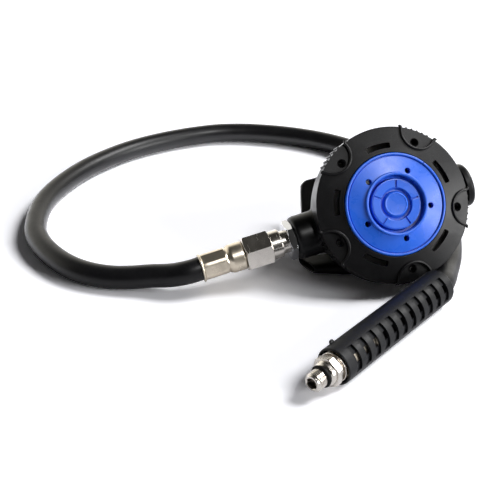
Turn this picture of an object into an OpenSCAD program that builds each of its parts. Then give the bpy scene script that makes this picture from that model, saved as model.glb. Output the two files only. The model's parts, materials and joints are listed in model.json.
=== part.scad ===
// Scuba regulator second stage on its low-pressure hose, with the hose protector
// and the fitting that screws into a first stage.
// The stage has its own frame: x along the demand valve, y up the face, z out of
// the face, with the origin at the centre of the face.

/* [Stance] */
// Angle by which the face leans back from lying flat
face_lean = 58; // [54:1:62]
// Roll of the stage, whose right exhaust wing lies over the hose
stage_roll = 10.4; // [8:0.2:12]

/* [Cover ring] */
// Outer diameter of the cover ring
ring_d = 83; // [82:0.5:90]
// Height of the ring from its face to the edge of its skirt
ring_h = 8; // [7:0.5:9]
// How far the face falls from its crown to the rim
ring_fall = 2.6; // [2:0.2:3.4]
// Thickness of the ring's face at the inner edge
ring_face_t = 3; // [2.4:0.2:3.4]
// Turn of the ring on the case, from its symmetric place
ring_turn = -0.8; // [-4:0.2:4]
// Number of scallops, and of slots between them
petals = 5; // [4:1:6]
// Radius of each scallop
scallop_r = 9.3; // [7:0.1:10]
// Width of the raised lip round each scallop
scallop_lip = 1.1; // [0.8:0.1:1.6]
// Diameter of the hole in each scallop
scallop_hole_d = 3.8; // [2:0.2:5]
// Grip ribs on the rim in each scallop
scallop_ribs = 4; // [2:1:6]
// Length of each arc slot along its middle
slot_len = 14; // [8:0.5:18]
// Width of each arc slot
slot_w = 2.8; // [1.6:0.2:3.2]

/* [Purge cover] */
// Diameter of the blue purge cover
cover_d = 53.2; // [52:0.2:54]
// Height of the purge cover's rim above the face
cover_rise = 2; // [1.4:0.2:2.6]
// Diameter of the well that holds the purge button
well_d = 29.6; // [29:0.2:30.6]
// Width of the raised lip round the well
well_lip = 1.7; // [1.2:0.1:2]
// Diameter of each vent hole
vent_d = 2.9; // [1.6:0.1:3.2]
// Radius on which the vent holes lie
vent_r = 18.6; // [18.2:0.1:21]

/* [Purge button] */
// Diameter of the purge button
button_d = 26; // [24:0.2:28]
// Travel of the purge button
button_travel = 2.5; // [1.5:0.1:2.5]
// Diameter of the dome at its centre
dome_d = 12.4; // [10:0.2:14]
// Depth of the groove round the dome
dome_groove_h = 1.2; // [0.6:0.1:1.2]

/* [Case] */
// How far the cover ring stands out past the case's rim
ring_over = 1; // [0.6:0.1:1.6]
// Wall of the case
case_wall = 2.3; // [2:0.1:2.6]
// Depth of the case, from the face to its back
case_depth = 41.5; // [40:0.5:44]
// Radius of the round edge between the case's side and its back
case_round = 19; // [17:0.5:20]
// Diameter of the boss that the inlet passes through
boss_d = 24; // [22:0.5:25]
// Reach of the inlet boss from the middle of the case
boss_reach = 51.9; // [48:0.1:54]
// Width of the mouthpiece tube
tube_w = 36; // [33:0.5:38]
// Height of the mouthpiece tube
tube_h = 23; // [21:0.5:24]
// Height of the mouthpiece above the middle of the case
mouth_y = 10; // [9:0.5:11]

/* [Exhaust] */
// How deep the exhaust port's flat is cut into the round edge of the case
port_cut = 14; // [13:0.2:15]
// Outer diameter of the exhaust port's collar
port_collar_d = 25.6; // [24:0.2:26]
// Diameter of the exhaust valve's flap
flap_d = 21.2; // [19:0.2:21.4]
// Reach of each exhaust wing from the middle of the case
wing_reach = 48; // [46:0.5:50]
// Wall of the exhaust tee
tee_wall = 1.5; // [1.3:0.1:1.8]

/* [Mouthpiece] */
// Width of the mouthpiece's lip shield
shield_w = 72; // [66:1:74]
// Height of the lip shield
shield_h = 33; // [30:0.5:34]
// Length of the bite tabs beyond the lip shield
bite_len = 17; // [14:0.5:18]
// Wall of the mouthpiece's neck
neck_wall = 2.2; // [1.8:0.1:2.6]

/* [Demand valve] */
// Height of the valve's axis on the face
valve_y = -1.5; // [-3:0.1:1]
// Depth of the valve's axis behind the face
valve_depth = 22; // [21.6:0.1:23]
// Outer diameter of the valve barrel
barrel_d = 12; // [11.6:0.1:12.4]
// Bore of the valve barrel
barrel_bore = 9; // [8.6:0.1:9.4]
// Distance of the lever's pivot from the middle of the case
pivot_x = 18; // [16:0.5:20]
// Diameter of the inlet thread
inlet_d = 13.5; // [13:0.1:13.6]

/* [Nuts and cap] */
// Width across flats of the lock nut
lock_nut_af = 19.05; // [17:0.05:21]
// Thickness of the lock nut
lock_nut_h = 4.2; // [3:0.1:5]
// Width across flats of the swivel nut
swivel_af = 17.46; // [17:0.02:19]
// Length of the swivel nut's hexagon
swivel_hex_h = 14.8; // [13:0.1:16]
// Length of the round collar of the swivel nut
swivel_collar_h = 4.5; // [3:0.1:5]
// Diameter of the side cap
cap_d = 24; // [22:0.5:26]
// Length of the side cap outside the case
cap_h = 9.3; // [8:0.1:12]

/* [Hose] */
// Outer diameter of the hose
hose_d = 12.75; // [12:0.05:13]
// Length of each crimped ferrule
ferrule_h = 24; // [22:0.5:26]
// Diameter of the ferrules
ferrule_d = 15.6; // [15:0.1:15.8]
// Width across the crimped flats
crimp_af = 13.6; // [13.2:0.1:14.2]

/* [First-stage fitting] */
// Diameter of the 3/8 inch thread
thread_d = 9.52; // [9:0.02:11]
// Length of the thread
thread_h = 8.5; // [7:0.1:10]
// Bore of the fitting
fitting_bore = 5; // [3:0.1:6]
// Width across flats of the fitting's hexagon
fitting_af = 14.3; // [13:0.1:15]
// Length of the hexagon
fitting_hex_h = 5.5; // [4:0.1:7]

/* [Hose protector] */
// Outer diameter of the hose protector
protector_d = 19; // [18.6:0.1:21]
// Length of the hose protector
protector_h = 93; // [90:1:110]
// Number of slots along each side
protector_slots = 11; // [8:1:11]
// Distance from one slot to the next
slot_pitch = 7.7; // [7:0.1:7.8]
// Angle that each slot spans
slot_span = 84; // [60:2:90]

/* [Hidden] */
$fn = 64;

// Gaps: between pieces that move, between pieces that seat, and past a cut face
run_gap = 0.3;
seat_gap = 0.1;
cut = 1;

black = [0.06, 0.06, 0.07];
rubber = [0.13, 0.13, 0.14];
blue = [0.10, 0.25, 0.80];
nickel = [0.78, 0.75, 0.70];
zinc = [0.72, 0.75, 0.78];
brass = [0.80, 0.68, 0.35];
steel = [0.70, 0.70, 0.72];
clear = [0.75, 0.75, 0.72];

// Heights in the stage's frame, from the face down to the lever
ring_r = ring_d / 2;
crown = 0.7;
rim_z = -ring_h - run_gap;
shelf_z = rim_z - 4;
bead_t = 1.25;
slip_t = 0.7;
bead_z = shelf_z + bead_t;
slip_z = bead_z + seat_gap;
spigot_z = slip_z + slip_t + seat_gap;
web_t = 1;
button_top = -1.9;
button_t = 1.3;
web_top = button_top - dome_groove_h - 0.8 - button_travel - run_gap;
lip_t = 0.5;
lip_z = web_top - web_t - run_gap;
plate_t = 0.8;
plate_top = lip_z - lip_t - run_gap;
hub_h = 1.5;
diaphragm_t = 0.8;
diaphragm_top = plate_top - plate_t - run_gap;
hub_z = plate_top - plate_t - hub_h;
lever_top = hub_z - run_gap;

// Radii in the stage's frame
rim_r = ring_r - ring_over;
pocket_r = rim_r - case_wall;
shelf_r = pocket_r - 3.7;
spigot_t = 2.1;
cover_r = cover_d / 2;
well_r = well_d / 2;
well_wall = 1.2;
pusher_r = 4.6;
hub_r = 4.8;
plate_r = 14;

// The demand valve, along x
valve_z = -valve_depth;
barrel_r = barrel_d / 2;
bore_r = barrel_bore / 2;
neck_r = 6.2;
boss_r = boss_d / 2;
cavity_x = shelf_r - 1;
lock_nut_x = -boss_reach - lock_nut_h;
collar_x = lock_nut_x - 3.3;
swivel_h = swivel_hex_h + swivel_collar_h;
swivel_x = collar_x - swivel_h;
swivel_wall = 2.6;
inlet_x = swivel_x + 5.5;
stem_r = 4.3;
ferrule_x = swivel_x - 0.2 - ferrule_h;
orifice_x = -8.6;
seat_x = orifice_x + run_gap;
seat_h = 1.4;
barrel_end = cavity_x + 2;
plug_h = 4;
foot_up = 3;
foot_r = 1.2;
finger_back = 0.6;
finger_gap = 2;
collar_gap = 0.3;
poppet_stem_r = 1.5;
poppet_collar_x = pivot_x + foot_r + collar_gap;
spring_x = poppet_collar_x + 1.5 + run_gap;
plug_x = barrel_end - plug_h;

// The case's side is straight down to its ledge, and round below it
ledge_z = rim_z - 9.2;
round_h = case_depth + ledge_z;
edge = norm([case_round * sin(face_lean), round_h * cos(face_lean)]);
edge_y = rim_r - case_round + case_round * case_round * sin(face_lean) / edge;
edge_z = round_h * round_h * cos(face_lean) / edge - ledge_z;

// The exhaust port's plane is level when the stage isn't rolled
port_d = edge_y * sin(face_lean) + edge_z * cos(face_lean) - port_cut;
port_q = edge_z * sin(face_lean) - edge_y * cos(face_lean) + 6.35;
port_y = -port_d * sin(face_lean) + port_q * cos(face_lean);
port_z = -port_d * cos(face_lean) - port_q * sin(face_lean);
tee_low = 9.5;
wing_y = port_y + 2.35;
wing_z = port_z - 0.7;
wing_tall = 9.6;
wing_deep = 10.4;
wing_round = 3;

// Place of the stage: its left wing's lower edge is on the floor
stage_x = 8.5;
stage_y = -28.7;
wing_low = (wing_tall / 2 - wing_round - wing_y) * sin(face_lean)
    + (wing_deep / 2 - wing_round - wing_z) * cos(face_lean) + wing_round;
face_h = wing_reach * sin(stage_roll) + wing_low * cos(stage_roll);

// The mouthpiece, along -z
tube_end = case_depth + 18.5;
neck_start = case_depth + 2.5;
shield_z = tube_end + 2;
shield_t = 3.2;
shield_bend = 90;
shield_up = 1.5;
bite_t = 4;
tie_z = neck_start + 5;
tie_w = 4.5;
tie_t = 1.2;

// The fitting's tip and heading on the floor
tip_x = -68;
tip_y = -114.9;
fit_turn = 32.5;
protector_r = protector_d / 2;
groove_h = 2.4;
fitting_collar_h = 1.6;
fitting_flange_h = 1.3;
fitting_flange_r = 7.8;
hex_s = thread_h + groove_h + fitting_collar_h;
flange_s = hex_s + fitting_hex_h;
end_ferrule_s = flange_s + fitting_flange_h;
hose_s = end_ferrule_s + ferrule_h;
mouth_s = flange_s - 0.6;
protector_end = mouth_s + protector_h;

// Turns a point of the stage's frame into the part's frame
function placed(p) =
    let (y1 = p.y * cos(face_lean) - p.z * sin(face_lean),
         z1 = p.y * sin(face_lean) + p.z * cos(face_lean))
    [stage_x + p.x * cos(stage_roll) - z1 * sin(stage_roll),
     stage_y + y1,
     face_h + p.x * sin(stage_roll) + z1 * cos(stage_roll)];

// A point at distance s along the fitting's axis, from its tip
function on_axis(s) = [tip_x + s * cos(fit_turn), tip_y + s * sin(fit_turn), protector_r];

// The hose's route over the floor, between its two ferrules
hose_low = hose_d / 2;
hose_points = concat(
    [placed([ferrule_x, valve_y, valve_z]), placed([ferrule_x - 9, valve_y, valve_z])],
    [
        [-108, -7, 10.6], [-118, -2, 9], [-128, 2, 7.6], [-138, 7, 6.6], [-148, 14, hose_low],
        [-157, 24, hose_low], [-164, 37, hose_low], [-169, 52, hose_low],
        [-171, 68, hose_low], [-169, 84, hose_low], [-164, 101, hose_low],
        [-156, 117, hose_low], [-144, 133, hose_low], [-130, 147, hose_low],
        [-115, 158, hose_low], [-99, 167, hose_low], [-83, 173, hose_low],
        [-66, 177, hose_low], [-49, 179, hose_low], [-32, 179, hose_low],
        [-15, 175, hose_low], [1, 168, hose_low], [16, 159, hose_low],
        [30, 148, hose_low], [42, 135, hose_low], [52, 120, hose_low],
        [60, 103, hose_low], [66, 84, hose_low], [69, 64, hose_low],
        [69, 44, hose_low], [66, 24, hose_low], [61, 5, hose_low],
        [53, -13, hose_low], [45, -28, 6.6], [37, -40, 6.9], [31, -49, 8.4]
    ],
    [for (s = [protector_end + 1, protector_end - 10, 75, 60]) on_axis(s)],
    [on_axis(hose_s)]
);

// ---- shared shapes -------------------------------------------------------

// Points along an arc, for outlines
function arc(cx, cy, r, a0, a1, n = 8) =
    [for (i = [0 : n]) let (a = a0 + (a1 - a0) * i / n) [cx + r * cos(a), cy + r * sin(a)]];

// Faces of a tube of rings with the given number of sides, closed at its ends
function tube_faces(rings, sides) = concat(
    [[for (j = [sides - 1 : -1 : 0]) j]],
    [for (i = [0 : rings - 2], j = [0 : sides - 1])
        [i * sides + j, i * sides + (j + 1) % sides, (i + 1) * sides + (j + 1) % sides]],
    [for (i = [0 : rings - 2], j = [0 : sides - 1])
        [i * sides + j, (i + 1) * sides + (j + 1) % sides, (i + 1) * sides + j]],
    [[for (j = [0 : sides - 1]) (rings - 1) * sides + j]]
);

function unit(v) = v / norm(v);

// Direction of a path at its point i
function heading(p, i) = unit(p[min(i + 1, len(p) - 1)] - p[max(i - 1, 0)]);

// A round tube swept along points, none of its headings upright
module sweep(points, d, sides) {
    ring = [for (i = [0 : len(points) - 1])
        let (t = heading(points, i), across = unit(cross([0, 0, 1], t)), up = cross(t, across))
        for (j = [0 : sides - 1])
            points[i] + d / 2 * (cos(360 * j / sides) * across + sin(360 * j / sides) * up)];
    polyhedron(ring, tube_faces(len(points), sides), convexity = 8);
}

// A coil spring of round wire, up z, from radius r0 to radius r1
module coil(r0, r1, wire_d, turns, h, sides = 6, steps = 20) {
    rings = turns * steps + 1;
    rise = (h - wire_d) / (rings - 1);
    wire = [for (i = [0 : rings - 1])
        let (a = 360 * i / steps, r = r0 + (r1 - r0) * i / (rings - 1), z = wire_d / 2 + rise * i)
        for (j = [0 : sides - 1])
            let (b = 360 * j / sides, q = r + wire_d / 2 * cos(b))
            [q * cos(a), q * sin(a), z + wire_d / 2 * sin(b)]];
    polyhedron(wire, tube_faces(rings, sides), convexity = 10);
}

// A hexagonal prism with its corners turned down to a circle at both ends
module hexagon(af, h) {
    corner_r = af / sqrt(3);
    bevel = (corner_r - af / 2) * 0.6;
    intersection() {
        cylinder(h = h, r = corner_r, $fn = 6);
        rotate_extrude()
            polygon([[0, 0], [corner_r - bevel, 0], [corner_r, bevel],
                [corner_r, h - bevel], [corner_r - bevel, h], [0, h]]);
    }
}

// An oval with straight top and bottom
module oval(w, h) {
    square([w - h, h], center = true);
    for (side = [-1, 1])
        translate([side * (w - h) / 2, 0])
            circle(d = h);
}

// A rectangle with round corners, made without offsets so its edges stay true
module round_rect(w, h, r) {
    square([w - 2 * r, h], center = true);
    square([w, h - 2 * r], center = true);
    for (x = [-1, 1], y = [-1, 1])
        translate([x * (w / 2 - r), y * (h / 2 - r)])
            circle(r = r);
}

// A round-section ring, such as an O-ring, round z
module torus(mid_r, wire_r) {
    rotate_extrude()
        translate([mid_r, 0])
            circle(r = wire_r, $fn = 24);
}

// A full turn of an outline given as radius and height
module turned(outline) {
    rotate_extrude($fn = 96)
        polygon(outline);
}

// Places things in the stage's frame
module on_stage() {
    translate([stage_x, stage_y, face_h])
        rotate([face_lean, -stage_roll, 0])
            children();
}

// Places things along the valve, their z from x0 on
module on_valve(x0 = 0) {
    translate([x0, valve_y, valve_z])
        rotate([0, 90, 0])
            children();
}

// Places things at the exhaust port, their z out of it
module at_port() {
    translate([0, port_y, port_z])
        rotate([180 - face_lean, 0, 0])
            children();
}

// Places things along the first-stage fitting, their z from its tip
module on_fitting(s = 0) {
    translate(on_axis(s))
        rotate([0, 0, fit_turn])
            rotate([0, 90, 0])
                children();
}

// Places one copy for each petal, the first at the given angle
module each_petal(first) {
    for (i = [0 : petals - 1])
        rotate(first + 360 * i / petals)
            children();
}

// ---- cover ring and purge ------------------------------------------------

scallop_at = 54;
slot_at = 18;
ring_in = cover_r + run_gap;
ring_round = 1.9;
scallop_mid = ring_r - 0.3;
slot_mid = cover_r + 4.1;

// Outline of the ring's top, raised by lift
function ring_top(lift) = concat(
    [[ring_in, crown - 0.4 + lift], [ring_in + 0.4, crown + lift], [ring_in + 7, crown - 0.5 + lift]],
    arc(ring_r - ring_round, crown - ring_fall - ring_round, ring_round + lift, 75, 0)
);

module ring_solid(lift) {
    turned(concat(
        [[ring_in, -ring_face_t]],
        ring_top(lift),
        [[ring_r + lift, -ring_h], [pocket_r - run_gap, -ring_h],
         [pocket_r - run_gap, spigot_z], [pocket_r - run_gap - spigot_t, spigot_z],
         [pocket_r - 3.4, -6], [(pocket_r + cover_r) / 2 - 0.6, -4.4],
         [cover_r + 3, -ring_face_t]]
    ));
}

// Space that a scallop clears above its floor, which slopes down to the rim
module scallop_space() {
    intersection() {
        translate([scallop_mid, 0, -ring_h])
            cylinder(h = 2 * ring_h, r = scallop_r);
        translate([scallop_mid - scallop_r, 0, -1.2])
            rotate([0, 24, 0])
                translate([-2, -ring_r, 0])
                    cube([2 * ring_r, 2 * ring_r, ring_h]);
    }
}

// The raised lip round a scallop
module scallop_edge() {
    intersection() {
        translate([scallop_mid, 0, -ring_h])
            difference() {
                cylinder(h = 2 * ring_h, r = scallop_r + scallop_lip);
                translate([0, 0, -cut])
                    cylinder(h = 2 * ring_h + 2 * cut, r = scallop_r);
            }
        ring_solid(0.7);
    }
}

module arc_slot() {
    half = slot_len / 2 / slot_mid * 180 / PI;
    translate([0, 0, -ring_face_t - cut]) {
        rotate(-half)
            rotate_extrude(angle = 2 * half)
                translate([slot_mid - slot_w / 2, 0])
                    square([slot_w, ring_face_t + crown + 2 * cut]);
        for (side = [-1, 1])
            rotate(side * half)
                translate([slot_mid, 0, 0])
                    cylinder(h = ring_face_t + crown + 2 * cut, d = slot_w, $fn = 24);
    }
}

// Ribs that a thumb grips on the rim, inside each scallop
module grip_ribs() {
    rib_w = 1;
    rib_out = 0.8;
    pitch = 5.4;
    for (i = [0 : scallop_ribs - 1])
        rotate((i - (scallop_ribs - 1) / 2) * pitch)
            translate([ring_r - 1, -rib_w / 2, -ring_h])
                cube([1 + rib_out, rib_w, ring_h - 5.6]);
}

module cover_ring() {
    color(black)
        on_stage()
            rotate(ring_turn) {
                difference() {
                    union() {
                        difference() {
                            ring_solid(0);
                            each_petal(scallop_at) scallop_space();
                            each_petal(slot_at) arc_slot();
                        }
                        each_petal(scallop_at) scallop_edge();
                        each_petal(scallop_at) grip_ribs();
                    }
                    each_petal(scallop_at)
                        translate([ring_r - 6.2, 0, -ring_h - cut])
                            cylinder(h = 2 * ring_h, d = scallop_hole_d, $fn = 32);
                }
            }
}

module slip_ring() {
    color(clear)
        on_stage()
            turned([[shelf_r, slip_z], [pocket_r - run_gap, slip_z],
                [pocket_r - run_gap, slip_z + slip_t], [shelf_r, slip_z + slip_t]]);
}

module purge_cover() {
    rim_w = 1.7;
    groove_w = 0.8;
    skin = 2.6;
    lip_r = well_r + well_lip;
    flange_top = -ring_face_t - run_gap;
    color(blue)
        on_stage()
            difference() {
                turned(concat(
                    [[pusher_r + run_gap, web_top - web_t], [well_r + well_wall, web_top - web_t],
                     [well_r + well_wall, cover_rise - 0.9 - skin],
                     [cover_r - rim_w, cover_rise - 0.9 - skin],
                     [cover_r - rim_w, flange_top - 1], [cover_r + 2.4, flange_top - 1],
                     [cover_r + 2.4, flange_top], [cover_r, flange_top]],
                    arc(cover_r - rim_w / 2, cover_rise - rim_w / 2, rim_w / 2, 0, 180),
                    [[cover_r - rim_w, cover_rise - 1.4], [cover_r - rim_w - groove_w, cover_rise - 1.4],
                     [cover_r - rim_w - groove_w, cover_rise - 0.7], [lip_r + 0.5, cover_rise - 0.9]],
                    arc(lip_r - 0.6, cover_rise - 0.6, 0.6, 0, 90, 4),
                    arc(well_r + 0.5, cover_rise - 0.5, 0.5, 90, 180, 4),
                    [[well_r, web_top], [pusher_r + run_gap, web_top]]
                ));
                rotate(ring_turn)
                    each_petal(scallop_at)
                        translate([vent_r, 0, -2 * ring_h])
                            cylinder(h = 4 * ring_h, d = vent_d, $fn = 32);
            }
}

module purge_button() {
    dome_r = dome_d / 2;
    groove_r = dome_r + 1.3;
    button_r = button_d / 2;
    groove_z = button_top - dome_groove_h;
    ray_w = 0.7;
    ray_h = 0.45;
    color(blue)
        on_stage()
            difference() {
                rotate(180 / petals)
                    turned(concat(
                        [[0, lip_z - lip_t], [pusher_r + 0.9, lip_z - lip_t], [pusher_r + 0.9, lip_z],
                         [pusher_r, lip_z], [pusher_r, groove_z - 0.8], [groove_r, groove_z - 0.8],
                         [groove_r + 0.5, button_top - button_t],
                         [button_r - 1.2, button_top - button_t],
                         [button_r - 1.2, button_top - 2.2], [button_r, button_top - 2.2]],
                        arc(button_r - 0.6, button_top - 0.6, 0.6, 0, 90, 4),
                        [[groove_r + 0.2, button_top], [groove_r, groove_z], [dome_r + 0.1, groove_z]],
                        arc(dome_r - 1.2, button_top - 0.4, 1.2, 0, 90, 5),
                        [[dome_r - 3.4, button_top + 0.5], [0, button_top + 0.5]]
                    ));
                for (i = [0 : petals - 1])
                    rotate(360 * i / petals)
                        translate([groove_r - cut, -ray_w / 2, button_top - ray_h])
                            cube([button_r, ray_w, 2]);
            }
}

module button_spring() {
    wire = 0.6;
    top = button_top - button_t - seat_gap;
    color(steel)
        on_stage()
            translate([0, 0, web_top + seat_gap])
                coil(11.2, 8.6, wire, 2, top - web_top - seat_gap);
}

// ---- diaphragm and lever -------------------------------------------------

module diaphragm() {
    roll_r = 3;
    roll_mid = 26;
    mid_z = diaphragm_top - diaphragm_t / 2;
    color(clear)
        on_stage()
            turned(concat(
                [[hub_r + run_gap, diaphragm_top]],
                arc(roll_mid, mid_z, roll_r - diaphragm_t / 2, 180, 360, 12),
                [[shelf_r, diaphragm_top], [shelf_r, bead_z], [pocket_r - run_gap, bead_z],
                 [pocket_r - run_gap, shelf_z + seat_gap / 2], [shelf_r - 1, shelf_z + seat_gap / 2],
                 [shelf_r - 1, diaphragm_top - diaphragm_t]],
                arc(roll_mid, mid_z, roll_r + diaphragm_t / 2, 360, 180, 12),
                [[hub_r + run_gap, diaphragm_top - diaphragm_t]]
            ));
}

module diaphragm_plate() {
    color(black)
        on_stage()
            turned([[0, hub_z], [hub_r, hub_z], [hub_r, plate_top - plate_t],
                [plate_r, plate_top - plate_t], [plate_r, plate_top], [0, plate_top]]);
}

// Fork that straddles the barrel, with a foot and a finger inside each wall
module demand_lever() {
    leg_t = 1;
    leg_in = barrel_r + 0.5;
    foot_z = valve_z + foot_up;
    bar_x = 6;
    bar_top = lever_top - 1.3;
    tongue_w = 5;
    color(steel)
        on_stage()
            translate([0, valve_y, 0]) {
                for (side = [-1, 1]) {
                    translate([0, side * (leg_in + leg_t / 2), 0])
                        rotate([90, 0, 0])
                            linear_extrude(leg_t, center = true)
                                polygon([[pivot_x + 1.8, foot_z - 0.6], [pivot_x + 0.8, foot_z + 1.8],
                                    [bar_x + 2, bar_top], [bar_x - 2, bar_top],
                                    [bar_x - 2, bar_top - 1], [pivot_x - 1.8, foot_z - 0.6],
                                    [pivot_x - 0.8, foot_z - 1.8], [pivot_x + 0.8, foot_z - 1.8]]);
                    translate([pivot_x, side * finger_gap, foot_z])
                        rotate([-side * 90, 0, 0])
                            cylinder(h = leg_in + leg_t - finger_gap, r = foot_r, $fn = 32);
                    translate([pivot_x - finger_back, side > 0 ? finger_gap : -finger_gap - 1, valve_z - 0.6])
                        cube([finger_back + foot_r, 1, foot_up + 0.6]);
                }
                translate([bar_x - 2, -leg_in - leg_t, bar_top - 1])
                    cube([4, 2 * (leg_in + leg_t), 1]);
                translate([0, -valve_y, 0])
                    rotate([90, 0, 0])
                        linear_extrude(tongue_w, center = true)
                            polygon([[-2, lever_top - 1.2], [-1, lever_top - 0.2], [0, lever_top],
                                [1, lever_top - 0.1], [bar_x, bar_top], [bar_x, bar_top - 1]]);
            }
}

// ---- valve ---------------------------------------------------------------

module valve_barrel() {
    shoulder_r = 8;
    shoulder_x = -cavity_x + 0.2;
    color(brass)
        on_stage()
            difference() {
                union() {
                    on_valve(inlet_x)
                        cylinder(h = collar_x - inlet_x - 0.6, d = inlet_d);
                    on_valve(collar_x - 1)
                        cylinder(h = shoulder_x - collar_x + 1, r = neck_r);
                    on_valve(shoulder_x)
                        cylinder(h = 2.6, r = shoulder_r);
                    on_valve(shoulder_x)
                        cylinder(h = barrel_end - shoulder_x, r = barrel_r);
                }
                on_valve(inlet_x - cut)
                    cylinder(h = barrel_end - inlet_x + 2 * cut, r = bore_r);
                translate([pivot_x, valve_y - barrel_d, valve_z + foot_up])
                    rotate([-90, 0, 0])
                        cylinder(h = 2 * barrel_d, r = foot_r + run_gap, $fn = 32);
                for (i = [-1, 1])
                    translate([2 + 4 * i, valve_y - barrel_d, valve_z])
                        rotate([-90, 0, 0])
                            cylinder(h = 2 * barrel_d, r = 1.5, $fn = 32);
            }
}

module orifice() {
    r = bore_r - seat_gap;
    groove_x = -50;
    start = inlet_x + 4;
    color(brass)
        on_stage()
            on_valve(start)
                turned([[1.6, 0], [r, 0], [r, groove_x - start - 0.8], [r - 1, groove_x - start - 0.8],
                    [r - 1, groove_x - start + 0.8], [r, groove_x - start + 0.8],
                    [r, orifice_x - start - 3], [2.5, orifice_x - start - 0.8],
                    [2.2, orifice_x - start], [1.6, orifice_x - start - 0.4]]);
}

module orifice_o_ring() {
    color(rubber)
        on_stage()
            on_valve(-50)
                torus(bore_r - seat_gap - 0.5 + 0.05, 0.48);
}

module poppet() {
    head_r = bore_r - run_gap;
    head_end = 6;
    color(black)
        on_stage()
            difference() {
                union() {
                    on_valve(seat_x + 0.4)
                        cylinder(h = head_end - seat_x - 0.4, r = head_r);
                    on_valve(head_end)
                        cylinder(h = plug_x - head_end, r = poppet_stem_r);
                    on_valve(poppet_collar_x)
                        cylinder(h = 1.5, r = head_r);
                    on_valve(plug_x - cut)
                        cylinder(h = 3, r = poppet_stem_r);
                }
                on_valve(seat_x - cut)
                    cylinder(h = seat_h + cut + seat_gap, r = 3.3);
                for (i = [0 : 3])
                    on_valve(seat_x)
                        rotate(45 + 90 * i)
                            translate([3.6, -0.8, 0])
                                cube([2, 1.6, head_end + 12]);
            }
}

module poppet_seat() {
    color(rubber)
        on_stage()
            on_valve(seat_x)
                cylinder(h = seat_h, r = 3.2);
}

module poppet_spring() {
    color(steel)
        on_stage()
            on_valve(spring_x)
                coil(2.9, 2.9, 0.7, 5, plug_x - spring_x - seat_gap);
}

module spring_plug() {
    color(brass)
        on_stage()
            on_valve(plug_x)
                turned([[poppet_stem_r + run_gap, 0], [bore_r - seat_gap, 0],
                    [bore_r - seat_gap, plug_h - 0.5], [poppet_stem_r + run_gap, plug_h - 0.5]]);
}

module lock_nut() {
    color(zinc)
        on_stage()
            on_valve(lock_nut_x)
                difference() {
                    rotate(30)
                        hexagon(lock_nut_af, lock_nut_h - seat_gap);
                    translate([0, 0, -cut])
                        cylinder(h = lock_nut_h + 2 * cut, r = neck_r + seat_gap);
                }
}

cap_x = rim_r + 0.9;
cap_spigot_r = 9.6;

module side_cap() {
    cap_r = cap_d / 2;
    disc_h = cap_h * 0.55;
    color(black)
        on_stage()
            on_valve(cap_x)
                difference() {
                    turned(concat(
                        [[0, -6.5], [cap_spigot_r, -6.5], [cap_spigot_r, -2.2], [cap_spigot_r - 1.2, -2.2],
                         [cap_spigot_r - 1.2, -0.6], [cap_spigot_r, -0.6], [cap_spigot_r, 0],
                         [cap_r - 1, 0], [cap_r - 1, cap_h - disc_h - 0.7],
                         [cap_r - 2.2, cap_h - disc_h - 0.7], [cap_r - 2.2, cap_h - disc_h],
                         [cap_r, cap_h - disc_h]],
                        arc(cap_r - 2.4, cap_h - 2.6, 2.4, 0, 80, 8),
                        [[cap_r * 0.4, cap_h], [0, cap_h]]
                    ));
                    translate([0, 0, -6.5 - cut])
                        cylinder(h = barrel_end - cap_x + 6.5 + cut + run_gap, r = barrel_r + seat_gap);
                }
}

module side_cap_o_ring() {
    color(rubber)
        on_stage()
            on_valve(cap_x - 1.4)
                torus(cap_spigot_r - 0.57, 0.6);
}

// ---- case and exhaust ----------------------------------------------------

// Outline of the case's outside below its rim, drawn in by inset
function case_outline(inset) = concat(
    [[0, -case_depth + inset]],
    [for (a = [-90 : 9 : 0])
        [rim_r - case_round + (case_round - inset) * cos(a), ledge_z + (round_h - inset) * sin(a)]]
);

// All that lies outward of the port's plane, or of a plane depth inside it
module half_space(depth) {
    at_port()
        translate([-ring_d, -ring_d, -depth])
            cube([2 * ring_d, 2 * ring_d, ring_d]);
}

// The body of the case, grown by gap, without its bosses and tubes
module case_core(gap = seat_gap) {
    difference() {
        turned(concat(case_outline(-gap), [[rim_r + gap, rim_z], [0, rim_z]]));
        intersection() {
            half_space(-gap);
            translate([-ring_d, -ring_d, ledge_z - gap - ring_d])
                cube([2 * ring_d, 2 * ring_d, ring_d]);
        }
    }
}

module case_outside() {
    case_core(0);
    on_valve(-boss_reach)
        cylinder(h = boss_reach - rim_r / 2, r = boss_r);
    on_valve(rim_r / 2)
        cylinder(h = cap_x - rim_r / 2 - run_gap, r = boss_r - 0.6);
    at_port()
        cylinder(h = 2, d = port_collar_d);
    translate([0, mouth_y, -tube_end])
        linear_extrude(tube_end - case_depth + 4)
            oval(tube_w, tube_h);
}

module case_inside() {
    translate([0, 0, shelf_z])
        cylinder(h = ring_h, r = pocket_r);
    difference() {
        turned(concat(case_outline(case_wall),
            [[shelf_r, ledge_z + 0.6], [shelf_r, shelf_z + cut], [0, shelf_z + cut]]));
        intersection() {
            half_space(case_wall);
            translate([-ring_d, -ring_d, ledge_z + case_wall - ring_d])
                cube([2 * ring_d, 2 * ring_d, ring_d]);
        }
    }
}

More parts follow.
